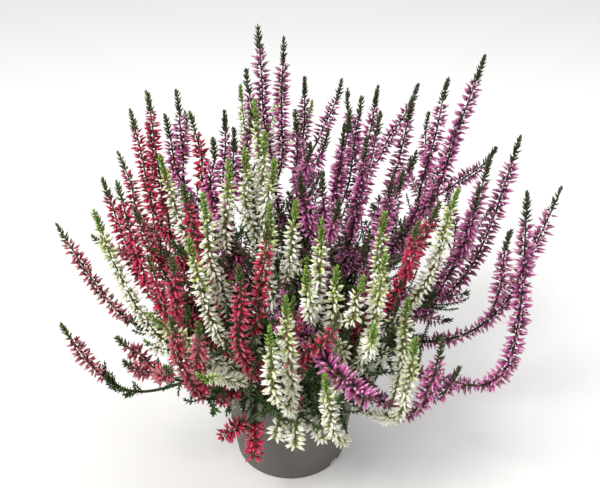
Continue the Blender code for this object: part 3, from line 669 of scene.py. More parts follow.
class Growth:
    """Gathers triangles with their places on the pattern map and their materials."""

    def __init__(self):
        self.points, self.faces, self.uvs, self.kinds = [], [], [], []
        self.count = 0

    def add(self, points, faces, uvs, kind):
        self.points.append(points)
        self.faces.append(faces + self.count)
        self.uvs.append(uvs)
        self.kinds.append(np.full(len(faces), kind))
        self.count += len(points)

    def add_copies(self, form, places, bases, sizes, rows, kind):
        """Copies of one form: each has its place, its three directions, its sizes along them and its
        row of the map."""
        copies, corners = len(places), len(form.points)
        local = form.points[None] * sizes[:, None, :]
        points = np.einsum("kni,kij->knj", local, bases) + places[:, None, :]
        faces = form.faces[None] + (np.arange(copies) * corners)[:, None, None]
        u = np.broadcast_to(form.uvs[None, ..., 0], (copies, *form.uvs.shape[:2]))
        v = row_places(rows[:, None, None], form.uvs[None, ..., 1])
        uvs = np.stack([u, v], axis=-1)
        self.add(points.reshape(-1, 3), faces.reshape(-1, 3), uvs.reshape(-1, 3, 2), kind)

    def add_tube(self, centres, side, other, radii, count, row, kind):
        """A round tube closed by a point at either end."""
        angles = 2 * np.pi * np.arange(count) / count
        out = np.cos(angles)[None, :, None] * side[:, None]
        out = out + np.sin(angles)[None, :, None] * other[:, None]
        rings = centres[:, None, :] + out * radii[:, None, None]
        points = np.concatenate([centres[:1], rings.reshape(-1, 3), centres[-1:]])
        along = np.linspace(0, 1, len(centres))
        half = along[1] / 2
        faces, uvs = closed_faces(along, count, (0, half, 0), (1, 1 - half, 0))
        uvs[..., 1] = row_places(row, uvs[..., 1])
        self.add(points, faces, uvs, kind)

    def build(self, name, materials):
        mesh = bpy.data.meshes.new(name)
        faces = np.concatenate(self.faces)
        mesh.from_pydata(np.concatenate(self.points), [], faces.tolist())
        mesh.uv_layers.new(name="OFBake").data.foreach_set("uv", np.concatenate(self.uvs).ravel())
        mesh.polygons.foreach_set("material_index", np.concatenate(self.kinds))
        mesh.shade_smooth()
        for material in materials:
            mesh.materials.append(material)
        return add_object(name, mesh)


def row_places(rows, shares):
    return (rows + ROW_MARGIN + (1 - 2 * ROW_MARGIN) * shares) / ROWS


class Route:
    """A smooth way along a stem, with a heading and two side directions at any distance."""

    def __init__(self, points):
        self.points = smooth_through(points)
        self.length = path_lengths(self.points)
        self.total = self.length[-1]
        self.ahead = np.gradient(self.points, axis=0)
        self.ahead /= np.linalg.norm(self.ahead, axis=1)[:, None]
        self.hangs = self.ahead[-1][2] < HANGING_BELOW
        side = np.cross(self.ahead[0], SIDE_HINT)
        sides = []
        for heading in self.ahead:
            side = side - heading * np.dot(side, heading)
            side = side / np.linalg.norm(side)
            sides.append(side)
        self.side = np.array(sides)
        self.other = np.cross(self.ahead, self.side)

    def at(self, places):
        """Points, headings and side directions at these distances, or at one distance."""
        kinds = (self.points, self.ahead, self.side, self.other)
        found = [at_distances(values, self.length, np.atleast_1d(places)) for values in kinds]
        return found if np.ndim(places) else [values[0] for values in found]


def smooth_through(points):
    """Three points for each step of the path, on a curve through its own points."""
    padded = np.concatenate([2 * points[:1] - points[1:2], points, 2 * points[-1:] - points[-2:-1]])
    before, start, end, after = padded[:-3], padded[1:-2], padded[2:-1], padded[3:]
    pieces = []
    for t in (0, 1 / 3, 2 / 3):
        pieces.append(
            start
            + (end - before) * t / 2
            + (2 * before - 5 * start + 4 * end - after) * t**2 / 2
            + (3 * start - before - 3 * end + after) * t**3 / 2
        )
    fine = np.stack(pieces, axis=1).reshape(-1, 3)
    return np.concatenate([fine, points[-1:]])


def bases_along(heads, rolls):
    """Three directions for each heading: along it, and two across it turned by the roll."""
    heads = heads / np.linalg.norm(heads, axis=1)[:, None]
    side = np.cross(heads, ROLL_HINT)
    side /= np.linalg.norm(side, axis=1)[:, None]
    turned = outward(side, np.cross(heads, side), rolls)
    return np.stack([heads, turned, np.cross(heads, turned)], axis=1)


def outward(side, other, angles):
    """Directions across a stem at these turns."""
    return np.cos(angles)[:, None] * side + np.sin(angles)[:, None] * other


def lifted(out, ahead, lift):
    """Directions between outward and ahead."""
    return out * np.cos(lift)[:, None] + ahead * np.sin(lift)[:, None]


def pair_angles(count, draw):
    """Turns of opposite pairs, each pair about a quarter turn from the last."""
    first = draw.uniform(0, 2 * np.pi) + np.arange(count) * PAIR_TURN
    first = first + draw.normal(0, PAIR_SCATTER, count)
    return np.concatenate([first, first + np.pi + draw.normal(0, PAIR_SCATTER, count)])


def whorl_angles(count, draw):
    """Turns of the buds around the spike, each whorl about an eighth of a turn from the last."""
    whorl = draw.uniform(0, 2 * np.pi) + np.arange(count) * WHORL_TURN
    turns = whorl[:, None] + 2 * np.pi * np.arange(BUDS_IN_WHORL) / BUDS_IN_WHORL
    return (turns + draw.normal(0, WHORL_SCATTER, turns.shape)).ravel()


def age_of(points):
    """How faded the buds are here: those far out and low are."""
    radial = np.linalg.norm(points[:, :2], axis=1)
    out = np.clip((radial - FADING_OUT[0]) / FADING_OUT[1], 0, 1)
    return out * np.clip((FADING_DOWN[0] - points[:, 2]) / FADING_DOWN[1], 0, 1)


def shade_rows(points, share, fading, draw):
    """A row of the map for each bud: a young shade near the spike's tip, a faded one far out and low."""
    count = len(points)
    rows = draw.integers(0, FADED_FROM, count)
    faded = draw.uniform(0, 1, count) < FADED_ANYWHERE + fading * age_of(points)
    rows = np.where(faded, draw.integers(FADED_FROM, YOUNG_FROM, count), rows)
    young = draw.uniform(0, 1, count) < (share - YOUNG_SHARES[0]) / YOUNG_SHARES[1]
    return np.where(young, draw.integers(YOUNG_FROM, ROWS, count), rows)


BUDS, BRACTS, TIPS, STALK, WOODY, LEAVES = range(6)

# Leaves in crossed pairs: their form, their material, the step between pairs, their length, half width
# and thickness as a share of that, and by how much the length varies. Their lifts and the shares of
# their length go by how much of the way is left, and the rolled ones turn about their own middle
Leaf = namedtuple("Leaf", "form kind step length half_width thickness vary lifts shares rolled")
TIP_LIFTS = ((0, 0.4, 1), (1.3, 0.95, 0.7))
TIP_SHARES = ((0, 0.3, 1), (0.45, 0.9, 1))
TIP_SIZE = (1.1 * MM, 4.6 * MM, 0.9 * MM, 0.8)
TIP_LEAVES = Leaf(TIP_LEAF, TIPS, *TIP_SIZE, (0.8, 1.15), TIP_LIFTS, TIP_SHARES, True)
SCALE_LIFTS = ((0, 0.2, 1), (1.35, 0.85, 0.6))
SCALE_SHARES = ((0, 0.2, 1), (0.6, 1, 0.95))
SCALE_SIZE = (1.35 * MM, 3.2 * MM, 0.62 * MM, 1)
SCALE_LEAVES = Leaf(SCALE_LEAF, LEAVES, *SCALE_SIZE, (0.8, 1.2), SCALE_LIFTS, SCALE_SHARES, False)


def dress_spike(growth, stem, look, leafy_share, draw):
    """A spike of buds with its stalk, its leafy tip and any leaf at its foot. A hanging one has hardly
    any tip."""
    route = Route(stem.points)
    total = route.total
    green = min(GREEN_TIP_LENGTH, GREEN_TIP_SHARE * total)
    green = green * (HANGING_TIP if route.hangs else look.tip_share)
    foot = stem.bare if stem.kind == "side_spike" else 0
    stations = np.append(np.arange(0, total - 1 * MM, 4 * MM), total - 0.5 * MM)
    add_stalk(growth, route, stations, SPIKE_STEM_RADIUS, 5, STALK, draw)
    leafy = leafy_share * total
    set_scales(growth, route, foot, leafy, 0.7, draw)
    for level in np.arange(foot, leafy, FOOT_SHOOT_STEP):
        centre, ahead, side, other = route.at(level)
        turn, lean = draw.uniform(0, 2 * np.pi), draw.uniform(*FOOT_SHOOT_LEAN)
        length, bend = draw.uniform(*FOOT_SHOOT_LENGTH), draw.uniform(*FOOT_SHOOT_BEND)
        path = curved_path(centre, leaning(ahead, side, other, turn, lean), length, bend)
        if inside_box(path).all() and not hits_pot(path):
            dress_shoot(growth, path, draw)
    set_buds(growth, route, max(leafy, foot + 1.5 * MM), total - green, look, draw, route.hangs)
    set_tip(growth, route, total - green, draw)


def set_buds(growth, route, start, end, look, draw, hangs=False):
    """Buds in whorls, smaller at the foot and towards the tip, some with a small bract."""
    levels = np.arange(start, end, HANGING_STEP if hangs else WHORL_STEP)
    if not len(levels):
        return
    both = np.repeat(levels, BUDS_IN_WHORL)
    count = len(both)
    both = both + draw.normal(0, BUD_JITTER, count)
    centres, ahead, side, other = route.at(both)
    out = outward(side, other, whorl_angles(len(levels), draw))
    share = (both - start) / (end - start)
    lift = np.interp(share, LIFT_PLACES, look.lifts) + draw.normal(0, BUD_LIFT_SCATTER, count)
    heads = lifted(out, ahead, lift)
    heads[:, 2] -= look.nod * np.clip(1.15 - share * 1.3, 0, 1)
    if hangs:
        size = np.full(count, HANGING_SIZE)
    else:
        size = np.interp(both - start, *SIZE_FROM_FOOT)
        size = np.minimum(size, np.interp(end - both, *SIZE_FROM_END))
    size = size * draw.uniform(0.82, 1.08, count)
    places = centres + out * BUD_SEAT
    bases = bases_along(heads, draw.uniform(0, np.pi, count))
    width = look.bud_half_width * size * draw.uniform(0.9, 1.12, count)
    sizes = np.stack([look.bud_length * size, width, width], axis=1)
    rows = shade_rows(places, np.zeros(count) if hangs else share, look.fading, draw)
    kept = inside_box(places + bases[:, 0] * sizes[:, :1])
    growth.add_copies(BUD, places[kept], bases[kept], sizes[kept], rows[kept], BUDS)

    kept &= draw.uniform(0, 1, count) < BRACT_SHARE
    bases = bases_along(heads - ahead * 0.6, draw.uniform(0, np.pi, count))
    half = np.full(count, BRACT_HALF_WIDTH)
    sizes = np.stack([BRACT_LENGTH * draw.uniform(0.8, 1.3, count), half, half * 0.7], axis=1)
    growth.add_copies(TIP_LEAF, places[kept], bases[kept], sizes[kept], rows[kept], BRACTS)


def set_tip(growth, route, start, draw):
    """Close leaves from here to the end."""
    levels = np.arange(start, route.total - 0.6 * MM, TIP_LEAVES.step)
    set_pairs(growth, route, start, levels, TIP_LEAVES, draw)


def set_scales(growth, route, start, end, spread, draw):
    """Scale leaves, closing towards the stem's own end."""
    levels = np.arange(start, end, SCALE_LEAVES.step * spread)
    if len(levels):
        set_pairs(growth, route, 0, levels, SCALE_LEAVES, draw)


def set_pairs(growth, route, start, levels, leaf, draw):
    """Leaves in crossed pairs at these distances, formed by how much of the way from the start is left."""
    both = np.concatenate([levels, levels])
    count = len(both)
    centres, ahead, side, other = route.at(both)
    out = outward(side, other, pair_angles(len(levels), draw))
    left = (route.total - both) / (route.total - start)
    heads = lifted(out, ahead, np.interp(left, *leaf.lifts) + draw.normal(0, LEAF_LIFT_SCATTER, count))
    length = leaf.length * np.interp(left, *leaf.shares) * draw.uniform(*leaf.vary, count)
    half = leaf.half_width * draw.uniform(0.85, 1.15, count)
    if leaf.rolled:
        bases = bases_along(heads, draw.uniform(0, np.pi, count))
    else:
        heads /= np.linalg.norm(heads, axis=1)[:, None]
        across = np.cross(ahead, out)
        bases = np.stack([heads, across, np.cross(heads, across)], axis=1)
    sizes = np.stack([length, half, half * leaf.thickness], axis=1)
    kept = inside_box(centres + bases[:, 0] * sizes[:, :1])
    rows = draw.integers(0, ROWS, count)
    growth.add_copies(leaf.form, centres[kept], bases[kept], sizes[kept], rows[kept], leaf.kind)


def inside_box(points):
    low, high = np.array(cad_box[0]), np.array(cad_box[1])
    return np.all((points > low + BOX_MARGIN) & (points < high - BOX_MARGIN), axis=1)


def dress_leafy(growth, bloom, stem, look, draw):
    """A leafy stem with close scale leaves and side shoots, of which some far out carry buds. The
    buds gather in a growth of their own."""
    route = Route(stem.points)
    total = route.total
    stations = np.append(np.arange(0, total - 2 * MM, 5 * MM), total)
    add_stalk(growth, route, stations, GREEN_STEM_RADIUS, 6, WOODY, draw)
    set_scales(growth, route, FIRST_LEAVES, total, 1.2, draw)
    if stem.kind == "leafy":
        low_part = route.length[route.points[:, 2] < look.buds_above]
        start = max(total * min(1, look.buds_from * 1.6), low_part.max(initial=0))
        set_buds(bloom, route, start, total, look, draw)
    levels = np.arange(SHOOT_STARTS[0], total, SHOOT_STEP)
    levels = levels + draw.uniform(-1.5 * MM, 1.5 * MM, len(levels))
    turns = draw.uniform(0, 6) + np.arange(len(levels)) * TURN_TO_NEXT
    beyond = np.linalg.norm(route.points[:, :2], axis=1) - RIM_RADIUS
    near_rim = (beyond > TRAILING_REACH[0]) & (beyond < TRAILING_REACH[1])
    near_rim &= route.points[:, 2] < TRAILING_HEIGHT
    if near_rim.any():
        trail(growth, bloom, route, route.length[near_rim], look, draw)
    for level, turn, *spot in zip(levels, turns, *route.at(levels)):
        length = draw.uniform(*SIDE_SHOOT_LENGTH) * np.interp(level, SHOOT_STARTS, (0.6, 1))
        path = first_clear(side_path(*spot, turn + i * TURN_TO_RETRY, length, draw) for i in range(TRIES))
        if path is None:
            continue
        budded = stem.kind == "leafy" and level > look.buds_from * total
        share = look.budded_share * np.interp(path[0][2], (LOW_SHOOTS, FEW_BUDS_BELOW), (0.3, 1))
        grow_side(growth, bloom, path, look, draw, budded and draw.uniform() < share)


def side_path(centre, ahead, side, other, turn, length, draw):
    """A try at a side shoot's way, which may bend down where it is low."""
    turn = turn + draw.normal(0, 0.3)
    lean, bend = draw.uniform(*SIDE_SHOOT_LEAN), draw.uniform(*SIDE_SHOOT_BEND)
    if centre[2] < LOW_SHOOTS and draw.uniform() < BENDS_DOWN:
        bend = -bend
    return curved_path(centre, leaning(ahead, side, other, turn, lean), length, bend)


def trail(growth, bloom, route, reach, look, draw):
    """Shoots that hang over the rim from this reach of a stem, some with buds."""
    for level in draw.uniform(reach[0], reach[-1], TRAILING_COUNT):
        centre = route.at(level)[0]
        path = first_clear(trailing_path(centre, draw) for i in range(TRIES))
        if path is not None:
            grow_side(growth, bloom, path, look, draw, draw.uniform() < look.trailing_budded)


def trailing_path(centre, draw):
    """A try at the way of a shoot over the rim."""
    bearing = math.atan2(centre[1], centre[0]) + draw.normal(0, 0.7)
    out = np.array([math.cos(bearing), math.sin(bearing), draw.uniform(0, 0.4)])
    return curved_path(centre, out, draw.uniform(*TRAILING_LENGTH), -draw.uniform(*TRAILING_BEND))


def first_clear(paths):
    """The first of these ways that stays in the box and off the pot, if one does."""
    for path in paths:
        if inside_box(path).all() and not hits_pot(path[1:]):
            return path
    return None


def grow_side(growth, bloom, path, look, draw, budded):
    """A side shoot with buds or with leaves alone, unless it would hang too low."""
    lowest = (path[:, 2] - CLIMB * (np.linalg.norm(path[:, :2], axis=1) - RIM_RADIUS)).min()
    if budded and lowest > LOWEST_BUDS:
        dress_budded(bloom, path, look, draw)
    elif lowest > LOWEST_LEAVES:
        dress_shoot(growth, path, draw)


def leaning(ahead, side, other, turn, lean):
    """The heading of a shoot that leaves its stem at this turn and lean."""
    out = math.cos(turn) * side + math.sin(turn) * other
    return out * math.sin(lean) + ahead * math.cos(lean)


def curved_path(start, heading, length, bend):
    """A short way that sets off on this heading and bends upward, or downward if the bend is negative."""
    steps = np.linspace(0, 1, 5)[:, None]
    rise = np.array([0, 0, math.copysign(1, bend)])
    return start + length * (heading * steps + (rise - heading) * abs(bend) * steps**2)


def add_stalk(growth, route, stations, thickness, count, kind, draw):
    """A tube through these distances, thinner towards the route's end."""
    centres, ahead, side, other = route.at(stations)
    radii = np.interp(stations, (0, route.total), thickness)
    growth.add_tube(centres, side, other, radii, count, draw.integers(0, ROWS), kind)


def dress_shoot(growth, path, draw):
    route = Route(path)
    add_stalk(growth, route, np.linspace(0, route.total, 4), SHOOT_STALK, 3, WOODY, draw)
    set_scales(growth, route, 1 * MM, route.total, 1, draw)


def dress_budded(growth, path, look, draw):
    route = Route(path)
    add_stalk(growth, route, np.linspace(0, route.total, 4), BUDDED_STALK, 3, WOODY, draw)
    split = route.total * (1 if route.hangs else 0.8)
    set_buds(growth, route, route.total * 0.2, split, look, draw, route.hangs)
    if not route.hangs:
        set_tip(growth, route, split, draw)


def hits_pot(path):
    """Whether a shoot would run into the rim, the outer wall or the soil."""
    radial = np.linalg.norm(path[:, :2], axis=1)
    near_wall = radial < RIM_RADIUS + SHOOT_CLEARANCE
    near_wall &= radial > inner_radius(POT_HEIGHT) - SHOOT_CLEARANCE
    beside = near_wall & (path[:, 2] < POT_HEIGHT + SHOOT_CLEARANCE)
    buried = (radial <= RIM_RADIUS) & (path[:, 2] < SOIL_EDGE_HEIGHT + SOIL_DOME + SHOOT_CLEARANCE)
    return bool((beside | buried).any())


def make_woody_base(growth, plant):
    heights = np.linspace(WOOD_FOOT, WOOD_TOP, 9)
    centres = np.array([above_crown(plant, height) for height in heights])
    side = np.tile((1.0, 0, 0), (9, 1))
    other = np.tile((0, 1.0, 0), (9, 1))
    places = (WOOD_FOOT, BRANCHING_HEIGHTS[0], WOOD_TOP)
    radii = np.interp(heights, places, (WOOD_RADIUS, WOOD_RADIUS * 0.9, WOOD_TOP_RADIUS))
    growth.add_tube(centres, side, other, radii, 10, 0, WOODY)


def new_material(name, roughness):
    material = bpy.data.materials.new(name)
    material.use_nodes = True
    shader = material.node_tree.nodes["Principled BSDF"]
    shader.inputs["Roughness"].default_value = roughness
    return material, material.node_tree, shader


def link(tree, source, target):
    tree.links.new(source, target)


def add_node(tree, kind, values=(), links=()):
    """A node with these values and links at its inputs, each given with the input's name."""
    node = tree.nodes.new(kind)
    for name, value in values:
        node.inputs[name].default_value = value
    for name, source in links:
        link(tree, source, node.inputs[name])
    return node


def math_node(tree, operation, first, *numbers):
    node = add_node(tree, "ShaderNodeMath", enumerate(numbers, 1), [(0, first)])
    node.operation = operation
    return node.outputs[0]


def noise_node(tree, scale, detail):
    place = add_node(tree, "ShaderNodeTexCoord").outputs["Object"]
    values = ("Scale", scale), ("Detail", detail)
    return add_node(tree, "ShaderNodeTexNoise", values, [("Vector", place)]).outputs["Fac"]


def range_node(tree, value, reach, low, high):
    """A value from low to high, as this one goes from 0 to its reach."""
    values = ("From Min", 0), ("From Max", reach), ("To Min", low), ("To Max", high)
    return add_node(tree, "ShaderNodeMapRange", values, [("Value", value)]).outputs[0]


def add_bump(tree, shader, height, strength, distance):
    values = ("Strength", strength), ("Distance", distance)
    bump = add_node(tree, "ShaderNodeBump", values, [("Height", height)])
    link(tree, bump.outputs[0], shader.inputs["Normal"])


def ramp(tree, factor, stops):
    """A run of colour through these stops, each a place and a colour."""
    node = add_node(tree, "ShaderNodeValToRGB", links=[(0, factor)])
    elements = node.color_ramp.elements
    while len(elements) < len(stops):
        elements.new(0.5)
    for element, (place, *colour) in zip(elements, stops):
        element.position = place
        element.color = (*colour, 1)
    return node.outputs[0]


def mix_colours(tree, factor, first, second):
    node = add_node(tree, "ShaderNodeMix", links=[(0, factor)])
    node.data_type = "RGBA"
    sockets = [s for s in node.inputs if s.type == "RGBA"]
    link(tree, first, sockets[0])
    link(tree, second, sockets[1])
    return [s for s in node.outputs if s.type == "RGBA"][0]


def plant_material(name, runs, roughness, shades, ridges):
    """Each run of colour goes along a bud or leaf. The row of the map picks the run and the shade."""
    material, tree, shader = new_material(name, roughness)
    uv = add_node(tree, "ShaderNodeUVMap")
    uv.uv_map = "OFBake"
    along, height = add_node(tree, "ShaderNodeSeparateXYZ", links=[(0, uv.outputs[0])]).outputs[:2]
    height = math_node(tree, "MULTIPLY", height, ROWS)
    row = math_node(tree, "FLOOR", height)
    colour = ramp(tree, along, runs[0])
    for start, run in zip((FADED_FROM, YOUNG_FROM), runs[1:]):
        reached = math_node(tree, "GREATER_THAN", row, start - 0.5)
        colour = mix_colours(tree, reached, colour, ramp(tree, along, run))
    shade = add_node(tree, "ShaderNodeTexWhiteNoise")
    shade.noise_dimensions = "1D"
    link(tree, row, shade.inputs["W"])
    low, high = shades
    value = math_node(tree, "MULTIPLY_ADD", shade.outputs["Value"], high - low, low)
    tint = add_node(tree, "ShaderNodeHueSaturation", links=[("Value", value), ("Color", colour)])
    link(tree, tint.outputs[0], shader.inputs["Base Color"])
    around = math_node(tree, "MULTIPLY", math_node(tree, "FRACT", height), 2 * math.pi * ridges)
    add_bump(tree, shader, math_node(tree, "COSINE", around), 0.35, 0.2 * MM)
    return material


# For each plant: its buds' slot, how much of the green tip it keeps, a bud's length and half width,
# the lift of the buds from the spike's foot to its tip, how much the low ones nod, how many of those
# far out fade, from what height and from where along its leafy stems the buds start, how many of the
# side shoots beyond have them, and how many of the shoots that trail over the rim
LOOK_FIELDS = "slot tip_share bud_length bud_half_width lifts nod fading"
Look = namedtuple("Look", LOOK_FIELDS + " buds_above buds_from budded_share trailing_budded")
LOOKS = {
    "red": Look(
        "red_buds", 0.8, 5.8 * MM, 0.95 * MM, (-0.1, 0.05, 0.2, 0.6), 0.12, 0.85, 120 * MM, 0.4, 0.42, 0.06
    ),
    "white": Look(
        "white_buds", 0.8, 5.6 * MM, 1.0 * MM, (-0.15, 0, 0.15, 0.6), 0.15, 0.3, 90 * MM, 0.5, 0.15, 0.3
    ),
    "purple": Look(
        "purple_buds", 1.0, 6.5 * MM, 0.95 * MM, (-0.05, 0.05, 0.2, 0.55), 0.06, 0.3, 90 * MM, 0.35, 0.4, 0.1
    ),
}

# Runs of colour from foot to point, each stop a place and its red, green and blue: fresh and faded
# ones, and young ones for the buds. Each bud pales towards its point: partly its own paler tip and
# partly a painted highlight
BUD_COLOURS_WITH_PAINTED_HIGHLIGHTS = {
    "red": (
        ((0, 0.12, 0.008, 0.012), (0.3, 0.55, 0.01, 0.05), (0.75, 0.74, 0.035, 0.13), (1, 0.9, 0.3, 0.38)),
        ((0, 0.1, 0.02, 0.02), (0.35, 0.36, 0.06, 0.08), (0.75, 0.56, 0.18, 0.21), (1, 0.66, 0.38, 0.3)),
        ((0, 0.12, 0.02, 0.02), (0.35, 0.5, 0.04, 0.1), (0.75, 0.66, 0.13, 0.23), (1, 0.8, 0.4, 0.42)),
    ),
    "white": (
        ((0, 0.2, 0.26, 0.05), (0.22, 0.76, 0.8, 0.44), (0.45, 0.97, 0.97, 0.84), (1, 0.98, 0.98, 0.92)),
        ((0, 0.18, 0.24, 0.05), (0.3, 0.62, 0.66, 0.34), (0.7, 0.94, 0.88, 0.68), (1, 0.84, 0.66, 0.5)),
        ((0, 0.18, 0.32, 0.04), (0.3, 0.55, 0.68, 0.2), (0.7, 0.84, 0.9, 0.52), (1, 0.92, 0.94, 0.7)),
    ),
    "purple": (
        ((0, 0.05, 0.012, 0.02), (0.28, 0.36, 0.05, 0.21), (0.7, 0.68, 0.19, 0.46), (1, 0.92, 0.62, 0.76)),
        ((0, 0.04, 0.02, 0.02), (0.35, 0.26, 0.07, 0.13), (0.75, 0.52, 0.23, 0.3), (1, 0.8, 0.54, 0.52)),
        ((0, 0.05, 0.025, 0.03), (0.3, 0.38, 0.1, 0.22), (0.7, 0.64, 0.26, 0.45), (1, 0.88, 0.6, 0.7)),
    ),
}
BUD_SHADES = {"red": (0.72, 1.12), "white": (0.92, 1.03), "purple": (0.75, 1.2)}
TIP_COLOURS = {
    "red": (((0, 0.04, 0.07, 0.015), (1, 0.11, 0.2, 0.03)), ((0, 0.05, 0.08, 0.02), (1, 0.18, 0.12, 0.05))),
    "white": (((0, 0.08, 0.18, 0.02), (1, 0.22, 0.42, 0.05)), ((0, 0.1, 0.18, 0.02), (1, 0.32, 0.48, 0.08))),
    "purple": (
        ((0, 0.02, 0.035, 0.01), (1, 0.06, 0.09, 0.02)),
        ((0, 0.03, 0.04, 0.015), (1, 0.09, 0.08, 0.03)),
    ),
}
BRACT_COLOURS = {
    "red": (((0, 0.04, 0.06, 0.015), (1, 0.14, 0.08, 0.03)), ((0, 0.04, 0.06, 0.015), (1, 0.18, 0.06, 0.04))),
    "white": (((0, 0.07, 0.13, 0.02), (1, 0.24, 0.34, 0.07)), ((0, 0.09, 0.15, 0.03), (1, 0.36, 0.4, 0.12))),
    "purple": (
        ((0, 0.02, 0.03, 0.01), (1, 0.08, 0.05, 0.04)),
        ((0, 0.02, 0.03, 0.01), (1, 0.12, 0.04, 0.06)),
    ),
}
STALK_COLOURS = {
    "red": (((0, 0.05, 0.03, 0.015), (1, 0.09, 0.1, 0.03)),),
    "white": (((0, 0.09, 0.08, 0.02), (1, 0.2, 0.24, 0.05)),),
    "purple": (((0, 0.04, 0.015, 0.015), (1, 0.06, 0.04, 0.02)),),
}
LEAF_COLOURS = (
    ((0, 0.018, 0.055, 0.009), (1, 0.075, 0.175, 0.026)),
    ((0, 0.024, 0.07, 0.011), (1, 0.14, 0.27, 0.042)),
)
WOOD_COLOURS = (((0, 0.06, 0.038, 0.025), (0.5, 0.05, 0.04, 0.02), (1, 0.045, 0.06, 0.02)),)
POT_COLOURS = ((0.3, 0.118, 0.108, 0.098), (0.7, 0.15, 0.138, 0.126))
SOIL_COLOURS = ((0.3, 0.012, 0.008, 0.005), (0.55, 0.04, 0.026, 0.016), (0.75, 0.09, 0.062, 0.04))
FLOOR_COLOUR = (0.8, 0.79, 0.775, 1)


def heather_materials():
    """Each plant's materials, in the order of their numbers."""
    wood = plant_material("heather_wood", WOOD_COLOURS, 0.85, (0.7, 1.2), 3)
    leaf = plant_material("heather_leaf", LEAF_COLOURS, 0.5, (0.5, 1.4), 1)
    materials = {}
    for plant in PLANTS:
        materials[plant] = (
            plant_material(f"{plant}_buds", BUD_COLOURS_WITH_PAINTED_HIGHLIGHTS[plant], 0.45, BUD_SHADES[plant], 4),
            plant_material(f"{plant}_bracts", BRACT_COLOURS[plant], 0.6, (0.7, 1.2), 2),
            plant_material(f"{plant}_tips", TIP_COLOURS[plant], 0.5, (0.7, 1.25), 2),
            plant_material(f"{plant}_stalks", STALK_COLOURS[plant], 0.7, (0.8, 1.2), 3),
            wood,
            leaf,
        )
    return materials


def turned_profile():
    """From the middle of the floor inside, up, over the rim and back under the foot, with the lip, the
    band's edges and the foot as arcs."""
    band_foot = POT_HEIGHT - RIM_BAND
    ring = BASE_RADIUS - FOOT_RING_WIDTH
    half = WALL / 2
    lip = POT_HEIGHT - half
    corner = inner_radius(FLOOR_TOP) - FOOT_ROUND
    profile = [(0, FLOOR_TOP), (corner, FLOOR_TOP)]
    profile += arc((corner, FLOOR_TOP + FOOT_ROUND), FOOT_ROUND, -90, 0, 4)[1:]
    profile += arc((inner_radius(POT_HEIGHT) + half, lip), half, 180, 90, 4)
    profile += arc((RIM_RADIUS - half, lip), half, 90, 0, 4)
    profile += arc((RIM_RADIUS - WALL * 0.9, band_foot + WALL * 0.4), WALL * 0.4, 0, -90, 3)
    profile.append((outer_radius(band_foot), band_foot - half))
    profile += arc((outer_radius(FOOT_ROUND) - FOOT_ROUND, FOOT_ROUND), FOOT_ROUND, 0, -90, 5)
    profile += [(ring, 0), (ring - FLOOR_RAISE / 2, FLOOR_RAISE)]
    profile += [(FOOT_BOSS_RADIUS + FLOOR_RAISE / 2, FLOOR_RAISE), (FOOT_BOSS_RADIUS, 0), (0, 0)]
    return profile


def arc(centre, radius, start, end, steps):
    angles = [math.radians(start + (end - start) * i / steps) for i in range(steps + 1)]
    return [(centre[0] + radius * math.cos(a), centre[1] + radius * math.sin(a)) for a in angles]


def make_pot():
    profile = [(radius, 0, height) for radius, height in turned_profile()]
    mesh = bpy.data.meshes.new("pot_shell")
    mesh.from_pydata(profile, [(i, i + 1) for i in range(len(profile) - 1)], [])
    pot = add_object("pot_shell", mesh)
    turn = pot.modifiers.new("Turn", "SCREW")
    turn.steps = turn.render_steps = POT_SIDES
    turn.use_merge_vertices = True
    turn.merge_threshold = 0.00005
    turn.use_smooth_shade = True
    cutters = [slot_cutter(bearing) for bearing in SLOT_BEARINGS]
    cutters += [drain_cutter(number) for number in range(DRAIN_COUNT)]
    for cutter in cutters:
        difference = pot.modifiers.new("Cut", "BOOLEAN")
        difference.operation = "DIFFERENCE"
        difference.object = cutter
    bpy.context.view_layer.update()
    graph = bpy.context.evaluated_depsgraph_get()
    mesh = bpy.data.meshes.new_from_object(pot.evaluated_get(graph))
    pot.modifiers.clear()
    pot.data = mesh
    for cutter in cutters:
        bpy.data.objects.remove(cutter)
    mesh.shade_smooth()
    mesh.set_sharp_from_angle(angle=math.radians(35))
    mesh.materials.clear()
    mesh.materials.append(pot_material())
    return pot


def pot_material():
    material, tree, shader = new_material("pot_plastic", 0.62)
    cloud = noise_node(tree, 22, 5)
    link(tree, ramp(tree, cloud, POT_COLOURS), shader.inputs["Base Color"])
    link(tree, range_node(tree, cloud, 1, 0.5, 0.72), shader.inputs["Roughness"])
    add_bump(tree, shader, noise_node(tree, 1400, 2), 0.25, 0.1 * MM)
    return material


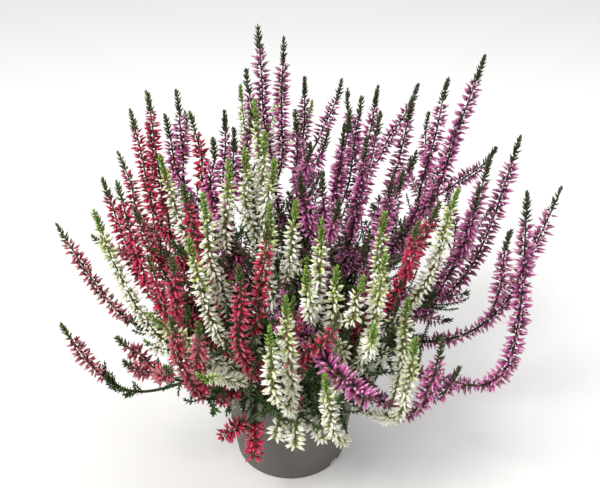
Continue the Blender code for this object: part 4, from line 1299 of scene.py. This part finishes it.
def make_soil():
    """The soil's body with a finely lumped top, and loose crumbs that lie sunk in it."""
    growth = Growth()
    edge = inner_radius(SOIL_EDGE_HEIGHT) - GAP
    low = FLOOR_TOP + GAP
    corner = FOOT_ROUND + GAP
    rings = [(0.0, low), (inner_radius(low) - corner - GAP, low)]
    rings.append((inner_radius(low + corner) - GAP, low + corner))
    rings += [(edge * (1 - j / SOIL_RINGS), None) for j in range(SOIL_RINGS + 1)]
    points = []
    for radius, height in rings:
        for k in range(SOIL_SIDES):
            angle = 2 * math.pi * k / SOIL_SIDES
            x, y = radius * math.cos(angle), radius * math.sin(angle)
            points.append((x, y, fine_soil_height(x, y) if height is None else height))
    faces = []
    for j in range(len(rings) - 1):
        for k in range(SOIL_SIDES):
            a, b = j * SOIL_SIDES + k, j * SOIL_SIDES + (k + 1) % SOIL_SIDES
            faces += [(a, b, b + SOIL_SIDES), (a, b + SOIL_SIDES, a + SOIL_SIDES)]
    faces = np.array(faces)
    points = np.array(points)
    growth.add(points, faces, points[faces][..., :2] / (2 * RIM_RADIUS) + 0.5, 0)

    draw = np.random.default_rng(7)
    count = CRUMB_COUNT
    radius = edge * 0.95 * np.sqrt(draw.uniform(0, 1, count))
    angle = draw.uniform(0, 2 * np.pi, count)
    x, y = radius * np.cos(angle), radius * np.sin(angle)
    height = np.array([fine_soil_height(a, b) for a, b in zip(x, y)])
    size = CRUMB_SIZE[0] + (CRUMB_SIZE[1] - CRUMB_SIZE[0]) * draw.uniform(0, 1, count) ** 2
    places = np.stack([x, y, height + size * 0.2], axis=1)
    bases = bases_along(draw.normal(0, 1, (count, 3)), draw.uniform(0, np.pi, count))
    long, thick = size * draw.uniform(0.9, 1.8, count), size * draw.uniform(0.5, 0.9, count)
    sizes = np.stack([long, size, thick], axis=1)
    growth.add_copies(CRUMB, places, bases, sizes, draw.integers(0, ROWS, count), 0)
    return growth.build("soil_fill", [soil_material()])


def fine_soil_height(x, y):
    fine = noise.noise(Vector((x, y, 0.4)) / FINE_LUMP_SPACING)
    share = min(1, math.hypot(x, y) / RIM_RADIUS)
    return soil_height(x, y) + FINE_LUMPS * fine * (1 - share**4)


def soil_material():
    material, tree, shader = new_material("potting_soil", 0.95)
    cloud = noise_node(tree, 260, 6)
    link(tree, ramp(tree, cloud, SOIL_COLOURS), shader.inputs["Base Color"])
    add_bump(tree, shader, cloud, 0.8, 0.6 * MM)
    return material


def make_stage():
    """A pale floor that glows, more away from the pot: painted light that lifts the pot's shadow and whitens
    the floor beyond.
    """
    mesh = bpy.data.meshes.new("studio_floor")
    corners = [(x * FLOOR_REACH, y * FLOOR_REACH, 0) for x, y in ((-1, -1), (1, -1), (1, 1), (-1, 1))]
    mesh.from_pydata(corners, [], [(0, 1, 2, 3)])
    material, tree, shader = new_material("studio_paper", 0.9)
    shader.inputs["Base Color"].default_value = FLOOR_COLOUR
    # Painted light: an emission that grows with the distance from the middle
    shader.inputs["Emission Color"].default_value = (1, 1, 1, 1)
    place = add_node(tree, "ShaderNodeTexCoord").outputs["Object"]
    away = add_node(tree, "ShaderNodeVectorMath", links=[(0, place)])
    away.operation = "LENGTH"
    glow = range_node(tree, away.outputs["Value"], GLOW_REACH, *FLOOR_GLOW)
    link(tree, glow, shader.inputs["Emission Strength"])
    mesh.materials.append(material)
    add_object("studio_floor", mesh)


def make_camera():
    data = bpy.data.cameras.new("camera")
    data.sensor_width = SENSOR_WIDTH
    data.lens = PHOTO_FOCAL_PX / PHOTO_WIDTH_PX * SENSOR_WIDTH
    camera = add_object("camera", data)
    camera.location = CAMERA_PLACE
    camera.rotation_euler = (math.radians(90 - CAMERA_PITCH), 0, 0)
    bpy.context.scene.camera = camera


def area_light(name, place, size, power, colour):
    data = bpy.data.lights.new(name, "AREA")
    data.shape = "DISK"
    data.size = size
    data.energy = power
    data.color = colour
    light = add_object(name, data)
    light.location = place
    light.rotation_euler = (Vector(LIGHTS_AIM) - Vector(place)).to_track_quat("-Z", "Y").to_euler()


def make_lights():
    world = bpy.data.worlds.new("studio")
    world.use_nodes = True
    sky = world.node_tree.nodes["Background"].inputs
    sky["Color"].default_value = SKY_COLOUR
    sky["Strength"].default_value = SKY_STRENGTH
    bpy.context.scene.world = world
    area_light("key", (-0.55, -0.75, 1.25), 0.5, 18, (1, 0.985, 0.96))
    area_light("top", (0.35, 0.25, 1.4), 0.8, 6, (1, 1, 1))
    bpy.context.scene.view_settings.view_transform = "Standard"


def place(piece, node, slot):
    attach(piece, "root")
    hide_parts(node)


def dressed(body, stems):
    """The stems and spikes of this body, without the middle line of its woody base."""
    return [stem for stem in stems if stem.body == body and stem.kind != "wood"]


def main():
    make_camera()
    stems = []
    for index, spray in enumerate(SPRAYS, 1):
        stems += grow_spray(spray, index)
    for plant in PLANTS.values():
        stems += grow_shoots(plant) + [wood_core(plant)]
    spread_apart(stems)

    materials = heather_materials()
    for seed, (colour, plant) in enumerate(PLANTS.items()):
        growth, bloom = Growth(), Growth()
        draw = np.random.default_rng(100 + seed)
        make_woody_base(growth, plant)
        for stem in dressed(plant.name, stems):
            dress_leafy(growth, bloom, stem, LOOKS[colour], draw)
        place(growth.build(plant.name + "_foliage", materials[colour]), plant.name, "heather_leaf")
        side_bloom = bloom.build(plant.name + "_side_bloom", materials[colour])
        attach(side_bloom, "root")

    for index, spray in enumerate(SPRAYS, 1):
        name = spray_name(spray, index)
        growth = Growth()
        draw = np.random.default_rng(index)
        look = LOOKS[spray.plant]
        for stem in dressed(name, stems):
            dress_spike(growth, stem, look, LEAFY_SHARES.get(index, 0), draw)
        place(growth.build(name + "_bloom", materials[spray.plant]), name, look.slot)

    place(make_pot(), "pot", "pot_plastic")
    place(make_soil(), "soil", "potting_soil")
    make_stage()
    make_lights()


main()
